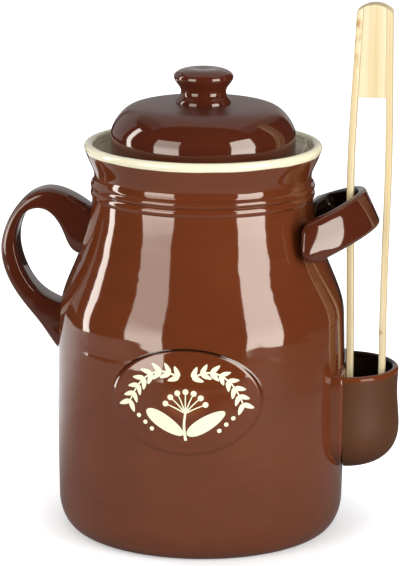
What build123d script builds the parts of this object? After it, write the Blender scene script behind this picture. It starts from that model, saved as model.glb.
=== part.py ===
from build123d import *
import math
import os

# Water seal pickle jar: a thrown stoneware jar with a water collar round its mouth, a bell lid
# that stands in the collar, an ear handle, and bamboo tongs held in a strap loop and a half cup.
# Millimetres. The origin is the centre of the foot on the plane it stands on, +Z is up,
# the oval medallion faces -Y, and the tongs are on the +X side.

os.makedirs("parts", exist_ok=True)

# Jar body: its largest radius, and how far inside that the outer wall lies at other heights
belly_radius = 101.7
foot_inset = 13.7
wall_low_inset = 0.9
wall_top_inset = 1.2
shoulder_low_inset = 6.4
shoulder_high_inset = 14.5
neck_inset = 24.5

# Heights on the outer wall, each as its rise above the one before
base_curve_height = 22.0
belly_rise = 56.0
wall_top_rise = 76.0
shoulder_low_rise = 22.0
shoulder_high_rise = 19.5
neck_rise = 42.0

# Walls, floor and ring foot
foot_ring_width = 9.0
foot_recess = 3.0
body_wall = 8.0
floor_thickness = 10.0
floor_corner_radius = 12.0

# Water collar, luted round a step on the neck that is the floor of its gutter
collar_foot_width = 7.4
neck_step_height = 6.0
collar_height = 38.5
collar_waist_inset = 0.9
collar_waist_rise = 13.0
collar_flare = 2.4
collar_flare_rise = 26.0
collar_lip_overhang = 5.9
collar_lip_width = 6.6
bead_relief = 1.3
lower_bead_height = 6.2
upper_bead_height = 5.0

# Gutter, and the upstand round the mouth that the lid covers
gutter_width = 13.8
upstand_wall = 6.0
upstand_height = 28.0

# Bell lid and its knob
lid_gap = 3.6
lid_wall = 5.0
lid_skirt_height = 37.0
lid_dome_height = 60.0
lid_roof_thickness = 6.0
lid_seat_clearance = 0.3
knob_foot_radius = 19.4
knob_waist_radius = 16.4
knob_radius = 20.7
knob_height = 24.0

# Ear handle
handle_reach = 64.8
handle_drop = 33.0
handle_rise = 3.7
handle_depth = 27.0
handle_edge_radius = 3.5

# Strap loop that holds the tongs
strap_tilt = 24.6
strap_drop = 57.9
strap_overhang = 29.3
strap_centre = 39.0
strap_half_width = 59.8
strap_thickness = 5.9
strap_band = 27.6
strap_edge_radius = 2.8
strap_root_inset = 28.5
strap_root_radius = 9.0
strap_throat = 60.0
strap_spread = 43.0
strap_throat_radius = 6.0

# Half cup and its clay pad, both set a little towards the back
pad_stand_out = 1.2
pad_half_width = 42.0
pad_low_height = 46.0
pad_high_height = 120.0
pad_base_curve = 29.0
pad_top_corner = 6.0
pad_edge_radius = 1.0
cup_radius = 36.6
cup_half_width = 39.3
cup_side_shift = 3.6
cup_low_height = 47.2
cup_height = 71.3
cup_wall = 4.5
cup_floor_thickness = 8.3

# Oval medallion
oval_half_width = 52.3
oval_half_height = 37.5
oval_top_gap = 1.3
oval_thickness = 1.7
oval_edge_radius = 1.1

# Weight stones on the jar floor
stone_side_clearance = 16.8
stone_thickness = 20.0
stone_gap = 3.0
stone_notch_radius = 13.0
stone_edge_radius = 3.0
stone_seat_clearance = 0.3

# Bamboo tongs
tongs_depth = 18.0
arm_thickness = 4.4
tip_thickness = 3.2
tongs_seat_clearance = 0.3
tongs_length = 321.5
tongs_block_length = 66.0
tongs_gap = 19.6
tongs_tip_gap = 14.8
tongs_stand_out = 12.6
tongs_crown = 9.0

# One overrun for every cut that runs out of its solid
overrun = 5.0

# Sizes that follow from the ones above
foot_radius = belly_radius - foot_inset
wall_low_radius = belly_radius - wall_low_inset
wall_top_radius = belly_radius - wall_top_inset
shoulder_low_radius = belly_radius - shoulder_low_inset
shoulder_high_radius = belly_radius - shoulder_high_inset
neck_radius = belly_radius - neck_inset
belly_height = base_curve_height + belly_rise
wall_top_height = belly_height + wall_top_rise
shoulder_low_height = wall_top_height + shoulder_low_rise
shoulder_high_height = shoulder_low_height + shoulder_high_rise
neck_height = shoulder_high_height + neck_rise
collar_waist_radius = neck_radius - collar_waist_inset
collar_flare_radius = neck_radius + collar_flare
collar_lip_radius = neck_radius + collar_lip_overhang
neck_step_radius = neck_radius - collar_foot_width
upstand_radius = neck_step_radius - gutter_width
mouth_radius = upstand_radius - upstand_wall
lid_radius = upstand_radius + lid_gap + lid_wall
handle_low_height = wall_top_height - handle_drop
handle_height = neck_height + handle_rise - handle_low_height
strap_level = neck_height - strap_drop
strap_reach = belly_radius + strap_overhang
strap_root = belly_radius - strap_root_inset
pad_face = belly_radius + pad_stand_out
tongs_centre = pad_face + tongs_stand_out
oval_height = wall_top_height - oval_top_gap - oval_half_height
stone_radius = wall_low_radius - body_wall - stone_side_clearance
gutter_floor = neck_height + neck_step_height
lid_seat = gutter_floor + lid_seat_clearance
cup_floor = cup_low_height + cup_floor_thickness
tongs_tip = cup_floor + tongs_seat_clearance
tongs_top = tongs_tip + tongs_length
block_low = tongs_top - tongs_block_length


def turned(outline):
    """Solid turned about the jar's axis from a closed outline in the XZ plane."""
    return revolve(make_face(outline), Axis.Z)


# How far the wall leans inwards where it meets the neck, per unit of rise
neck_lean_share = 0.0875


def rising_wall(offset=0):
    """Outer wall from the floor corner to the neck, moved outwards by offset."""
    straight = ThreePointArc(
        (wall_low_radius + offset, 0, base_curve_height),
        (belly_radius + offset, 0, belly_height),
        (wall_top_radius + offset, 0, wall_top_height),
    )
    shoulder = Spline(
        straight @ 1,
        (shoulder_low_radius + offset, 0, shoulder_low_height),
        (shoulder_high_radius + offset, 0, shoulder_high_height),
        (neck_radius + offset, 0, neck_height),
        tangents=[(0, 0, 1), (-neck_lean_share, 0, 1)],
    )
    return straight, shoulder


def filled_jar(offset=0):
    """Jar without its hollow, mouth or collar: what the applied pieces are fitted to."""
    straight, shoulder = rising_wall(offset)
    low = straight @ 0
    base = Spline(
        (foot_radius + offset, 0, 0),
        low,
        tangents=[(1, 0, foot_ring_width / foot_radius), (0, 0, 1)],
    )
    top = shoulder @ 1
    outline = Wire([
        Line((0, 0, 0), base @ 0),
        base,
        straight,
        shoulder,
        Line(top, (0, 0, top.Z)),
        Line((0, 0, top.Z), (0, 0, 0)),
    ])
    return turned(outline)


def make_jar_body():
    """Thrown jar: ring foot, floor, wall, shoulder, gutter floor and the upstand round the mouth."""
    jar = filled_jar()
    upstand = Pos(0, 0, neck_height) * Cylinder(
        upstand_radius, upstand_height, align=(Align.CENTER, Align.CENTER, Align.MIN))
    upstand = fillet(upstand.edges().sort_by(Axis.Z)[-1:], upstand_wall / 3)
    neck_step = Pos(0, 0, neck_height) * Cylinder(
        neck_step_radius, neck_step_height, align=(Align.CENTER, Align.CENTER, Align.MIN))
    jar = jar + neck_step + upstand
    inner_low = floor_thickness + floor_corner_radius
    inner_wall = wall_low_radius - body_wall
    roof = neck_height - body_wall
    straight = ThreePointArc(
        (inner_wall, 0, inner_low),
        (belly_radius - body_wall, 0, belly_height),
        (wall_top_radius - body_wall, 0, wall_top_height),
    )
    shoulder = Spline(
        straight @ 1,
        (shoulder_low_radius - body_wall, 0, shoulder_low_height),
        (shoulder_high_radius - body_wall, 0, shoulder_high_height),
        (neck_radius - body_wall, 0, roof - body_wall),
        (mouth_radius, 0, roof),
        tangents=[(0, 0, 1), (-1, 0, 0)],
    )
    corner = ThreePointArc(
        (inner_wall - floor_corner_radius, 0, floor_thickness),
        (inner_wall - floor_corner_radius * (1 - math.sqrt(0.5)), 0,
         inner_low - floor_corner_radius * math.sqrt(0.5)),
        straight @ 0,
    )
    hollow = turned(Wire([
        Line((0, 0, floor_thickness), corner @ 0),
        corner,
        straight,
        shoulder,
        Line(shoulder @ 1, (0, 0, roof)),
        Line((0, 0, roof), (0, 0, floor_thickness)),
    ]))
    mouth = Pos(0, 0, roof - overrun) * Cylinder(
        mouth_radius, body_wall + upstand_height + 2 * overrun,
        align=(Align.CENTER, Align.CENTER, Align.MIN))
    recess = Cylinder(foot_radius - foot_ring_width, 2 * foot_recess)
    jar = jar - hollow - mouth - recess
    inner_rim = jar.edges().filter_by(GeomType.CIRCLE).sort_by(Axis.Z)[-1:]
    return fillet(inner_rim, upstand_wall / 4)


def bead(low, height):
    """Half-round throwing bead on the outside of the collar, from low up by height."""
    return ThreePointArc(
        (neck_radius, 0, low),
        (neck_radius + bead_relief, 0, low + height / 2),
        (neck_radius, 0, low + height),
    )


# How far the collar leans outwards under its lip, per unit of rise
lip_lean_share = 0.3


def make_water_collar():
    """Flared ring luted round the step on the neck: the outer wall of the water gutter."""
    lower_bead = bead(neck_height, lower_bead_height)
    upper_bead = bead(neck_height + lower_bead_height, upper_bead_height)
    lip_middle = collar_lip_radius - collar_lip_width / 2
    lip_top = neck_height + collar_height
    lip_low = lip_top - collar_lip_width / 2
    flare_out = Spline(
        upper_bead @ 1,
        (collar_waist_radius, 0, neck_height + collar_waist_rise),
        (collar_flare_radius, 0, neck_height + collar_flare_rise),
        (collar_lip_radius, 0, lip_low),
        tangents=[(-1, 0, 1), (lip_lean_share, 0, 1)],
    )
    lip = ThreePointArc(flare_out @ 1, (lip_middle, 0, lip_top),
                        (collar_lip_radius - collar_lip_width, 0, lip_low))
    flare_in = Spline(
        lip @ 1,
        (collar_flare_radius - collar_lip_width, 0, neck_height + collar_flare_rise),
        (neck_step_radius, 0, gutter_floor),
        tangents=[(-lip_lean_share, 0, -1), (0, 0, -1)],
    )
    return turned(Wire([
        lower_bead,
        upper_bead,
        flare_out,
        lip,
        flare_in,
        Line(flare_in @ 1, (neck_step_radius, 0, neck_height)),
        Line((neck_step_radius, 0, neck_height), lower_bead @ 0),
    ]))


# Outline of the dome, as shares of the lid's radius and of the rise from the skirt's top
dome_shares = ((1.0, 0.0), (0.978, 0.27), (0.935, 0.49), (0.88, 0.68),
               (0.80, 0.85), (0.70, 0.94), (0.52, 0.985), (0.0, 1.0))


def lid_shell(radius, low, skirt_top, top):
    """Solid bell: a straight skirt from low to skirt_top and the dome above it."""
    rise = top - skirt_top
    points = [(radius * across, 0, skirt_top + rise * up) for across, up in dome_shares]
    dome = Spline(*points, tangents=[(0, 0, 1), (-1, 0, 0)])
    return turned(Wire([
        Line((0, 0, low), (radius, 0, low)),
        Line((radius, 0, low), dome @ 0),
        dome,
        Line(dome @ 1, (0, 0, low)),
    ]))


def make_lid_dome():
    """Bell lid whose skirt stands on the floor of the water collar."""
    skirt_top = lid_seat + lid_skirt_height
    top = lid_seat + lid_dome_height
    outer = lid_shell(lid_radius, lid_seat, skirt_top, top)
    inner = lid_shell(
        lid_radius - lid_wall, lid_seat - overrun, skirt_top - lid_wall, top - lid_roof_thickness)
    lid = outer - inner
    return fillet(lid.edges().sort_by(Axis.Z)[:2], lid_wall / 4)


# Heights of the knob's waist, widest ring and crown as shares of its height, the crown's radius
# as a share of the knob's, and how steeply its foot draws in, per unit of rise
knob_waist_share = 0.30
knob_ring_share = 0.77
knob_crown_share = 0.95
knob_crown_radius_share = 0.78
knob_foot_lean_share = 0.5


def make_lid_knob():
    """Waisted knob thrown on the top of the lid."""
    low = lid_seat + lid_dome_height
    skirt_top = lid_seat + lid_skirt_height
    side = Spline(
        (knob_foot_radius, 0, low - lid_roof_thickness / 2),
        (knob_waist_radius, 0, low + knob_height * knob_waist_share),
        (knob_radius, 0, low + knob_height * knob_ring_share),
        (knob_radius * knob_crown_radius_share, 0, low + knob_height * knob_crown_share),
        (0, 0, low + knob_height),
        tangents=[(-knob_foot_lean_share, 0, 1), (-1, 0, 0)],
    )
    knob = turned(Wire([
        side,
        Line(side @ 1, (0, 0, (side @ 0).Z)),
        Line((0, 0, (side @ 0).Z), side @ 0),
    ]))
    return knob - lid_shell(lid_radius, lid_seat, skirt_top, low)


# Ear handle in side view, from its upper root to its lower one: points of the outer and the inner
# edge, as shares of the handle's reach out from the neck and of its height
handle_outer_shares = ((-0.04, 0.87), (0.228, 0.965), (0.37, 0.993), (0.51, 1.0), (0.68, 0.965),
                       (0.84, 0.88), (0.96, 0.75), (1.0, 0.63), (0.945, 0.485), (0.75, 0.31),
                       (0.545, 0.17), (0.40, 0.055), (0.28, -0.02))
handle_inner_shares = ((0.04, 0.60), (0.215, 0.635), (0.30, 0.725), (0.37, 0.81), (0.49, 0.875),
                       (0.68, 0.87), (0.795, 0.78), (0.82, 0.67), (0.765, 0.54), (0.60, 0.40),
                       (0.41, 0.335), (0.26, 0.30), (0.12, 0.25))


def make_ear_handle():
    """Pulled strap handle with rounded edges, a wide upper root and a tapered lower one."""
    outer, inner = [
        Spline(*[
            (-neck_radius - handle_reach * out, -handle_depth / 2, handle_low_height + handle_height * up)
            for out, up in shares
        ])
        for shares in (handle_outer_shares, handle_inner_shares)
    ]
    side = make_face(Wire([outer, Line(outer @ 1, inner @ 1), inner, Line(inner @ 0, outer @ 0)]))
    strap = extrude(side, handle_depth, dir=(0, 1, 0))
    long_edges = [
        edge for edge in strap.edges()
        if edge.length > handle_reach and abs(edge.tangent_at(0).Y) < abs(edge.tangent_at(0).Z)
    ]
    return fillet(long_edges, handle_edge_radius) - filled_jar()


def strap_outline(inset):
    """Arch of the strap seen square to its plane, moved inwards by inset."""
    return Pos(strap_centre, 0) * Ellipse(strap_reach - strap_centre - inset, strap_half_width - inset)


def strap_plan():
    """The arch less its opening, which narrows as a wedge so that the sides thicken at their roots."""
    far = strap_throat + 2 * strap_reach
    spread = 2 * strap_reach * math.tan(math.radians(strap_spread))
    wedge = make_face(Polyline((strap_throat, 0), (far, spread), (far, -spread), (strap_throat, 0)))
    opening = strap_outline(strap_thickness) & wedge
    corners = opening.vertices().sort_by(Axis.Y)
    return strap_outline(0) - fillet([corners[0], corners[-1]], strap_throat_radius)


def strap_side():
    """The strap in side view: a tilted band from its upright, rounded roots outwards."""
    tilt = math.radians(strap_tilt)
    rim = strap_band / 2 / math.cos(tilt)
    root_level = strap_level + strap_root * math.tan(tilt)
    far = 2 * strap_reach
    far_level = strap_level + far * math.tan(tilt)
    band = make_face(Polyline(
        (strap_root, root_level - rim), (far, far_level - rim), (far, far_level + rim),
        (strap_root, root_level + rim), (strap_root, root_level - rim)))
    return Plane.XZ * fillet(band.vertices().sort_by(Axis.X)[:2], strap_root_radius)


def make_strap_loop():
    """Tilted arched strap that stands out of the shoulder: an arm of the tongs hangs inside it."""
    tilt = math.radians(strap_tilt)
    plane = Plane(
        origin=(0, 0, strap_level),
        x_dir=(math.cos(tilt), 0, math.sin(tilt)),
        z_dir=(-math.sin(tilt), 0, math.cos(tilt)),
    )
    arch = extrude(plane * strap_plan(), strap_band, dir=plane.z_dir, both=True)
    strap = arch & extrude(strap_side(), 2 * strap_half_width, both=True)
    rims = [
        edge for edge in strap.edges()
        if abs(edge.tangent_at(0.5).Y) < 1 and abs(edge.tangent_at(0.5).dot(plane.z_dir)) < 1
    ]
    return fillet(rims, strap_edge_radius) - filled_jar()


def make_cup_pad():
    """Clay pad that gives the half cup a flat seat on the round wall."""
    curve_top = pad_low_height + pad_base_curve
    corner = pad_half_width - pad_top_corner
    shoulder = pad_high_height - pad_top_corner
    slant = pad_top_corner * math.sqrt(0.5)
    base = EllipticalCenterArc(
        (0, curve_top), pad_half_width, pad_base_curve, start_angle=180, arc_size=180)
    outline = Wire([
        base,
        Line((pad_half_width, curve_top), (pad_half_width, shoulder)),
        ThreePointArc((pad_half_width, shoulder), (corner + slant, shoulder + slant),
                      (corner, pad_high_height)),
        Line((corner, pad_high_height), (-corner, pad_high_height)),
        ThreePointArc((-corner, pad_high_height), (-corner - slant, shoulder + slant),
                      (-pad_half_width, shoulder)),
        Line((-pad_half_width, shoulder), (-pad_half_width, curve_top)),
    ])
    seat = Plane(origin=(pad_face, cup_side_shift, 0), x_dir=(0, 1, 0), z_dir=(1, 0, 0))
    face = seat * make_face(outline)
    pad = extrude(face, pad_face - foot_radius, dir=(-1, 0, 0))
    front_edges = pad.faces().sort_by(Axis.X)[-1].edges()
    return fillet(front_edges, pad_edge_radius) - filled_jar()


# Outline of the half cup, as shares of its radius and height
cup_shares = ((0.32, 0.0), (0.72, 0.075), (0.95, 0.207), (1.0, 0.6), (0.985, 0.82), (1.0, 0.965))
cup_inner_shares = ((0.86, 0.0), (0.93, 0.08), (0.97, 0.20), (1.0, 0.50), (0.985, 0.80), (1.0, 0.94))


def make_tongs_cup():
    """Half of a thrown cup, pressed a little wider than deep, that the tongs stand in."""
    top = cup_low_height + cup_height
    inner_radius = cup_radius - cup_wall
    inner_height = top - cup_floor
    outer = Spline(*[(cup_radius * out, 0, cup_low_height + cup_height * up) for out, up in cup_shares])
    inner = Spline(*[
        (inner_radius * out, 0, cup_floor + inner_height * up) for out, up in cup_inner_shares
    ])
    rim = ThreePointArc(outer @ 1, (cup_radius - cup_wall / 2, 0, top), inner @ 1)
    wall = make_face(Wire([
        Line((0, 0, cup_low_height), outer @ 0),
        outer,
        rim,
        inner,
        Line(inner @ 0, (0, 0, cup_floor)),
        Line((0, 0, cup_floor), (0, 0, cup_low_height)),
    ]))
    whole = revolve(wall, Axis.Z)
    front = Box(
        2 * cup_radius, 4 * cup_radius, 4 * top, align=(Align.MIN, Align.CENTER, Align.CENTER))
    half = scale(whole & front, (1, cup_half_width / cup_radius, 1))
    return Pos(pad_face, cup_side_shift, 0) * half


def make_oval_medallion():
    """Thin oval pad on the front wall, the ground of the painted design."""
    blank = Plane(origin=(0, 0, oval_height), x_dir=(1, 0, 0), z_dir=(0, -1, 0)) * Ellipse(
        oval_half_width, oval_half_height)
    column = extrude(blank, belly_radius + oval_thickness + overrun, dir=(0, -1, 0))
    pad = (column & filled_jar(oval_thickness)) - filled_jar()
    face_rim = [edge for edge in pad.edges() if edge.length > oval_half_height]
    face_rim = sorted(face_rim, key=lambda edge: edge.bounding_box().min.Y)[:len(face_rim) // 2]
    return fillet(face_rim, oval_edge_radius)


def make_weight_stone(side):
    """Half-moon stone weight with half of the finger hole; side is 1 at the back, -1 at the front."""
    low = floor_thickness + stone_seat_clearance
    disc = Pos(0, 0, low) * Cylinder(
        stone_radius, stone_thickness, align=(Align.CENTER, Align.CENTER, Align.MIN))
    half = Pos(0, side * stone_gap / 2, low + stone_thickness / 2) * Box(
        2 * stone_radius, stone_radius, stone_thickness,
        align=(Align.CENTER, Align.MIN if side > 0 else Align.MAX, Align.CENTER))
    notch = Pos(0, 0, low + stone_thickness / 2) * Cylinder(stone_notch_radius, 2 * stone_thickness)
    stone = (disc & half) - notch
    flat_edges = stone.faces().sort_by(Axis.Z)[-1].edges() + stone.faces().sort_by(Axis.Z)[0].edges()
    return fillet(flat_edges, stone_edge_radius)


# Bow of a tongs arm: how far its outer face stands from the tip's line, as shares of the gap
# between the arms, at shares of the tongs' length
arm_station_shares = (0.0, 0.164, 0.246, 0.442, 0.636, 0.772, 1.0)
left_bow_shares = (0.02, 0.032, 0.042, 0.092, 0.122, 0.036, -0.153)
right_bow_shares = (0.006, 0.137, 0.14, 0.168, 0.224, 0.204, 0.148)


def arm_edge(side, inset, tip_inset):
    """One long face of an arm in side view; side is -1 for the left arm, 1 for the right."""
    bows = left_bow_shares if side < 0 else right_bow_shares
    tip_line = tongs_tip_gap / 2 + arm_thickness
    points = []
    for station, bow in zip(arm_station_shares, bows):
        depth = tip_inset if station == 0 else inset
        points.append((
            tongs_centre + side * (tip_line + tongs_gap * bow - depth),
            0,
            tongs_tip + (tongs_length + tongs_crown) * station,
        ))
    return Spline(*points)


# Crown of the tongs: where the rounded top starts on the right, is highest and ends on the left,
# as shares of half the width over both arms
crown_right_share = 1.16
crown_peak_share = 0.14
crown_left_share = 0.78


def tongs_blank():
    """Tongs filled in between their outer faces, with the rounded crown."""
    left = arm_edge(-1, 0, 0)
    right = arm_edge(1, 0, 0)
    face = make_face(Wire([left, Line(left @ 1, right @ 1), right, Line(right @ 0, left @ 0)]))
    blank = extrude(face, tongs_depth / 2, dir=(0, 1, 0), both=True)
    reach = tongs_gap / 2 + arm_thickness
    crown_low = tongs_top - tongs_crown
    far_left = tongs_centre - 3 * reach
    far_right = tongs_centre + 3 * reach
    start = (tongs_centre + reach * crown_right_share, 0, crown_low)
    peak = (tongs_centre + reach * crown_peak_share, 0, tongs_top)
    end = (tongs_centre - reach * crown_left_share, 0, crown_low)
    below_crown = make_face(Wire([
        Line((far_left, 0, 0), (far_right, 0, 0)),
        Line((far_right, 0, 0), (far_right, 0, crown_low)),
        Line((far_right, 0, crown_low), start),
        ThreePointArc(start, peak, end),
        Line(end, (far_left, 0, crown_low)),
        Line((far_left, 0, crown_low), (far_left, 0, 0)),
    ]))
    return blank & extrude(below_crown, tongs_depth, dir=(0, 1, 0), both=True)


def tongs_core():
    """Space between the inner faces of the two arms, over their whole height."""
    left = arm_edge(-1, arm_thickness, tip_thickness)
    right = arm_edge(1, arm_thickness, tip_thickness)
    face = make_face(Wire([left, Line(left @ 1, right @ 1), right, Line(right @ 0, left @ 0)]))
    return extrude(face, tongs_depth, dir=(0, 1, 0), both=True)


def make_tongs_arm(side):
    """Springy bamboo arm; side is -1 for the left arm, 1 for the right."""
    half = Pos(tongs_centre, 0, 0) * Box(
        4 * tongs_gap, 2 * tongs_depth, 3 * tongs_length,
        align=(Align.MAX if side < 0 else Align.MIN, Align.CENTER, Align.CENTER))
    return (tongs_blank() - tongs_core()) & half


def make_tongs_block():
    """Wooden block glued between the arms at the top."""
    upper = Pos(tongs_centre, 0, block_low) * Box(
        4 * tongs_gap, 2 * tongs_depth, 2 * tongs_block_length,
        align=(Align.CENTER, Align.CENTER, Align.MIN))
    return tongs_blank() & tongs_core() & upper


pieces = {
    "jar_body": make_jar_body(),
    "water_collar": make_water_collar(),
    "lid_dome": make_lid_dome(),
    "lid_knob": make_lid_knob(),
    "ear_handle": make_ear_handle(),
    "strap_loop": make_strap_loop(),
    "cup_pad": make_cup_pad(),
    "tongs_cup": make_tongs_cup(),
    "oval_medallion": make_oval_medallion(),
    "weight_stone_front": make_weight_stone(-1),
    "weight_stone_back": make_weight_stone(1),
    "tongs_left_arm": make_tongs_arm(-1),
    "tongs_right_arm": make_tongs_arm(1),
    "tongs_block": make_tongs_block(),
}

for name, piece in pieces.items():
    export_step(piece, f"parts/{name}.step")
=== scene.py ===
import functools
import math

import bmesh
import bpy
import numpy as np
from bpy.props import FloatProperty, FloatVectorProperty, IntProperty, PointerProperty
from mathutils import Matrix, Vector


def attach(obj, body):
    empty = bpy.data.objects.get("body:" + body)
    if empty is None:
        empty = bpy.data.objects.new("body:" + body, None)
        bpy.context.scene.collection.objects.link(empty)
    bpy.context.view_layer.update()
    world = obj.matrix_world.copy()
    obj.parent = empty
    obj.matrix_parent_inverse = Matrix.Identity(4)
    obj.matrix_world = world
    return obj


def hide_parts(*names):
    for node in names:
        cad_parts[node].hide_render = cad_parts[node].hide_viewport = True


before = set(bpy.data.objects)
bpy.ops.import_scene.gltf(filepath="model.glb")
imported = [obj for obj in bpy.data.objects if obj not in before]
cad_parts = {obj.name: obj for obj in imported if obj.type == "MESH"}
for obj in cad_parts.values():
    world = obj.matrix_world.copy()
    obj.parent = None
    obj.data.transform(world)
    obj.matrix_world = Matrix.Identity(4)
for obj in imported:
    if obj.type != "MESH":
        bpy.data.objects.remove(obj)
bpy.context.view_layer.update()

bl_info = {
    "name": "Water Seal Pickle Jar",
    "version": (1, 0, 0),
    "blender": (4, 5, 0),
    "location": "View3D > Sidebar > Pickle Jar",
    "description": "Builds a glazed water seal pickle jar with its lid, handle and bamboo tongs",
    "category": "Object",
}

IMAGE_WIDTH = 400
IMAGE_HEIGHT = 566
MM = 0.001
SAME_PLACE = 0.002 * MM


def length(name, millimetres, description):
    """Length property with its default given in millimetres."""
    return FloatProperty(
        name=name, description=description, default=millimetres * MM, min=0.0, precision=5, unit="LENGTH")


def share(name, value, description):
    """Plain number property."""
    return FloatProperty(name=name, description=description, default=value, precision=4)


def angle(name, degrees, description):
    """Angle property with its default given in degrees."""
    return FloatProperty(name=name, description=description, default=math.radians(degrees), unit="ROTATION")


def colour(name, value, description):
    """Linear colour property."""
    return FloatVectorProperty(
        name=name, description=description, default=value, size=3, min=0.0, max=1.0, subtype="COLOR")


class JarSizes(bpy.types.PropertyGroup):
    """Thrown pieces: jar, collar, lid and knob."""

    foot_radius: length("Foot radius", 88.0, "Outer radius of the ring the jar stands on")
    foot_ring: length("Foot ring", 9.0, "Width of the ring foot")
    foot_recess: length("Foot recess", 3.0, "Depth of the recess inside the ring foot")
    base_height: length("Base curve", 22.0, "Height where the rounded base meets the wall")
    low_radius: length("Low wall radius", 100.8, "Wall radius above the rounded base")
    belly_radius: length("Belly radius", 101.7, "Largest radius of the wall")
    belly_height: length("Belly height", 78.0, "Height of the largest radius")
    top_radius: length("Wall top radius", 100.5, "Wall radius where the shoulder starts")
    top_height: length("Wall top height", 154.0, "Height where the shoulder starts")
    shoulder_low_radius: length("Low shoulder radius", 95.3, "Radius at the shoulder's lower turn")
    shoulder_low_height: length("Low shoulder height", 176.0, "Height of the shoulder's lower turn")
    shoulder_high_radius: length("High shoulder radius", 87.2, "Radius at the shoulder's upper turn")
    shoulder_high_height: length("High shoulder height", 195.5, "Height of the shoulder's upper turn")
    neck_radius: length("Neck radius", 77.2, "Radius of the neck")
    neck_height: length("Neck height", 237.5, "Height of the neck's top")
    wall: length("Wall", 8.0, "Thickness of the wall")
    floor: length("Floor", 10.0, "Thickness of the floor")
    floor_corner: length("Floor corner", 12.0, "Radius inside between floor and wall")
    mouth_radius: length("Mouth radius", 50.0, "Radius of the mouth")
    upstand_wall: length("Upstand wall", 6.0, "Thickness of the upstand round the mouth")
    upstand_height: length("Upstand height", 28.0, "Height of the upstand above the neck")
    step_radius: length("Gutter radius", 69.8, "Outer radius of the gutter's floor")
    step_height: length("Gutter floor", 6.0, "Height of the gutter's floor above the neck")
    collar_height: length("Collar height", 38.5, "Height of the collar above the neck")
    waist_radius: length("Collar waist", 76.3, "Radius of the collar's waist")
    waist_rise: length("Waist rise", 13.0, "Height of the waist above the neck")
    flare_radius: length("Flare radius", 79.6, "Radius of the collar under its lip")
    flare_rise: length("Flare rise", 26.0, "Height of that radius above the neck")
    lip_radius: length("Lip radius", 83.1, "Outer radius of the lip")
    lip_width: length("Lip width", 6.6, "Width of the rounded lip")
    bead_relief: length("Bead relief", 1.3, "How far the two beads stand out")
    low_bead: length("Low bead", 6.2, "Height of the lower bead")
    high_bead: length("High bead", 5.0, "Height of the upper bead")
    lid_radius: length("Lid radius", 64.6, "Radius of the lid's skirt")
    lid_wall: length("Lid wall", 5.0, "Thickness of the lid")
    skirt_height: length("Skirt height", 37.0, "Height of the lid's straight skirt")
    dome_height: length("Dome height", 60.0, "Height of the lid without its knob")
    roof: length("Roof", 6.0, "Thickness of the lid at its top")
    seat: length("Seat clearance", 0.3, "Glaze clearance under the lid")
    knob_foot: length("Knob foot", 19.4, "Radius of the knob where it leaves the lid")
    knob_waist: length("Knob waist", 15.8, "Smallest radius of the knob")
    knob_radius: length("Knob radius", 20.7, "Largest radius of the knob")
    knob_height: length("Knob height", 24.0, "Height of the knob above the lid")
    segments: IntProperty(name="Segments", description="Faces round the thrown pieces", default=224, min=24)
    ring_depth: length("Ring depth", 0.07, "Depth of the soft throwing rings")
    ring_spacing: length("Ring spacing", 9.0, "Spacing of the throwing rings")


class AppliedSizes(bpy.types.PropertyGroup):
    """Pieces luted on the jar: handle, strap loop, pad, cup and medallion."""

    handle_reach: length("Handle reach", 64.8, "How far the handle stands out from the neck")
    handle_low: length("Handle low", 121.0, "Height of the handle's lowest point")
    handle_height: length("Handle height", 120.2, "Height of the handle")
    handle_depth: length("Handle depth", 27.0, "Width of the pulled strap, front to back")
    strap_tilt: angle("Strap tilt", 24.6, "How far the strap rises outwards")
    strap_level: length("Strap level", 179.6, "Height where the strap's middle plane meets the axis")
    strap_reach: length("Strap reach", 131.0, "How far the strap reaches from the axis, along its plane")
    strap_centre: length("Strap centre", 39.0, "Distance of its oval's centre from the axis, along its plane")
    strap_half: length("Strap half width", 59.8, "Half of the width of the strap's oval")
    strap_thickness: length("Strap thickness", 5.9, "Thickness of the strap")
    strap_band: length("Strap band", 27.6, "Height of the strap's band")
    strap_crown: length("Strap crown", 2.6, "How far the band's glaze swells in its middle")
    pad_face: length("Pad face", 102.9, "Distance of the pad's flat face from the axis")
    pad_half: length("Pad half width", 42.0, "Half of the pad's width")
    pad_low: length("Pad low", 46.0, "Height of the pad's lowest point")
    pad_high: length("Pad high", 120.0, "Height of the pad's top")
    pad_curve: length("Pad curve", 29.0, "Height of the pad's rounded base")
    pad_corner: length("Pad corner", 6.0, "Radius of the pad's upper corners")
    pad_edge: length("Pad edge", 2.4, "Radius of the soft edge round the pad's face")
    cup_shift: length("Cup shift", 3.6, "How far pad and cup sit towards the back")
    cup_radius: length("Cup radius", 36.6, "Depth of the half cup, from the pad outwards")
    cup_half: length("Cup half width", 39.3, "Half of the cup's width")
    cup_low: length("Cup low", 47.2, "Height of the cup's lowest point")
    cup_height: length("Cup height", 71.3, "Height of the cup")
    cup_wall: length("Cup wall", 4.5, "Thickness of the cup")
    cup_floor: length("Cup floor", 8.3, "Thickness of the cup's floor")
    oval_half_width: length("Oval half width", 52.3, "Half of the medallion's width")
    oval_half_height: length("Oval half height", 37.5, "Half of the medallion's height")
    oval_height: length("Oval height", 115.2, "Height of the medallion's centre")
    oval_relief: length("Oval relief", 1.6, "How far the medallion stands out")
    oval_dome: share("Oval dome", 0.3, "How much of that relief is a shallow dome")
    oval_edge: share("Oval edge", 0.065, "Width of the medallion's soft edge, as a share of its radius")
    paint_thickness: length("Paint thickness", 0.16, "Thickness of the painted design")


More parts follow.
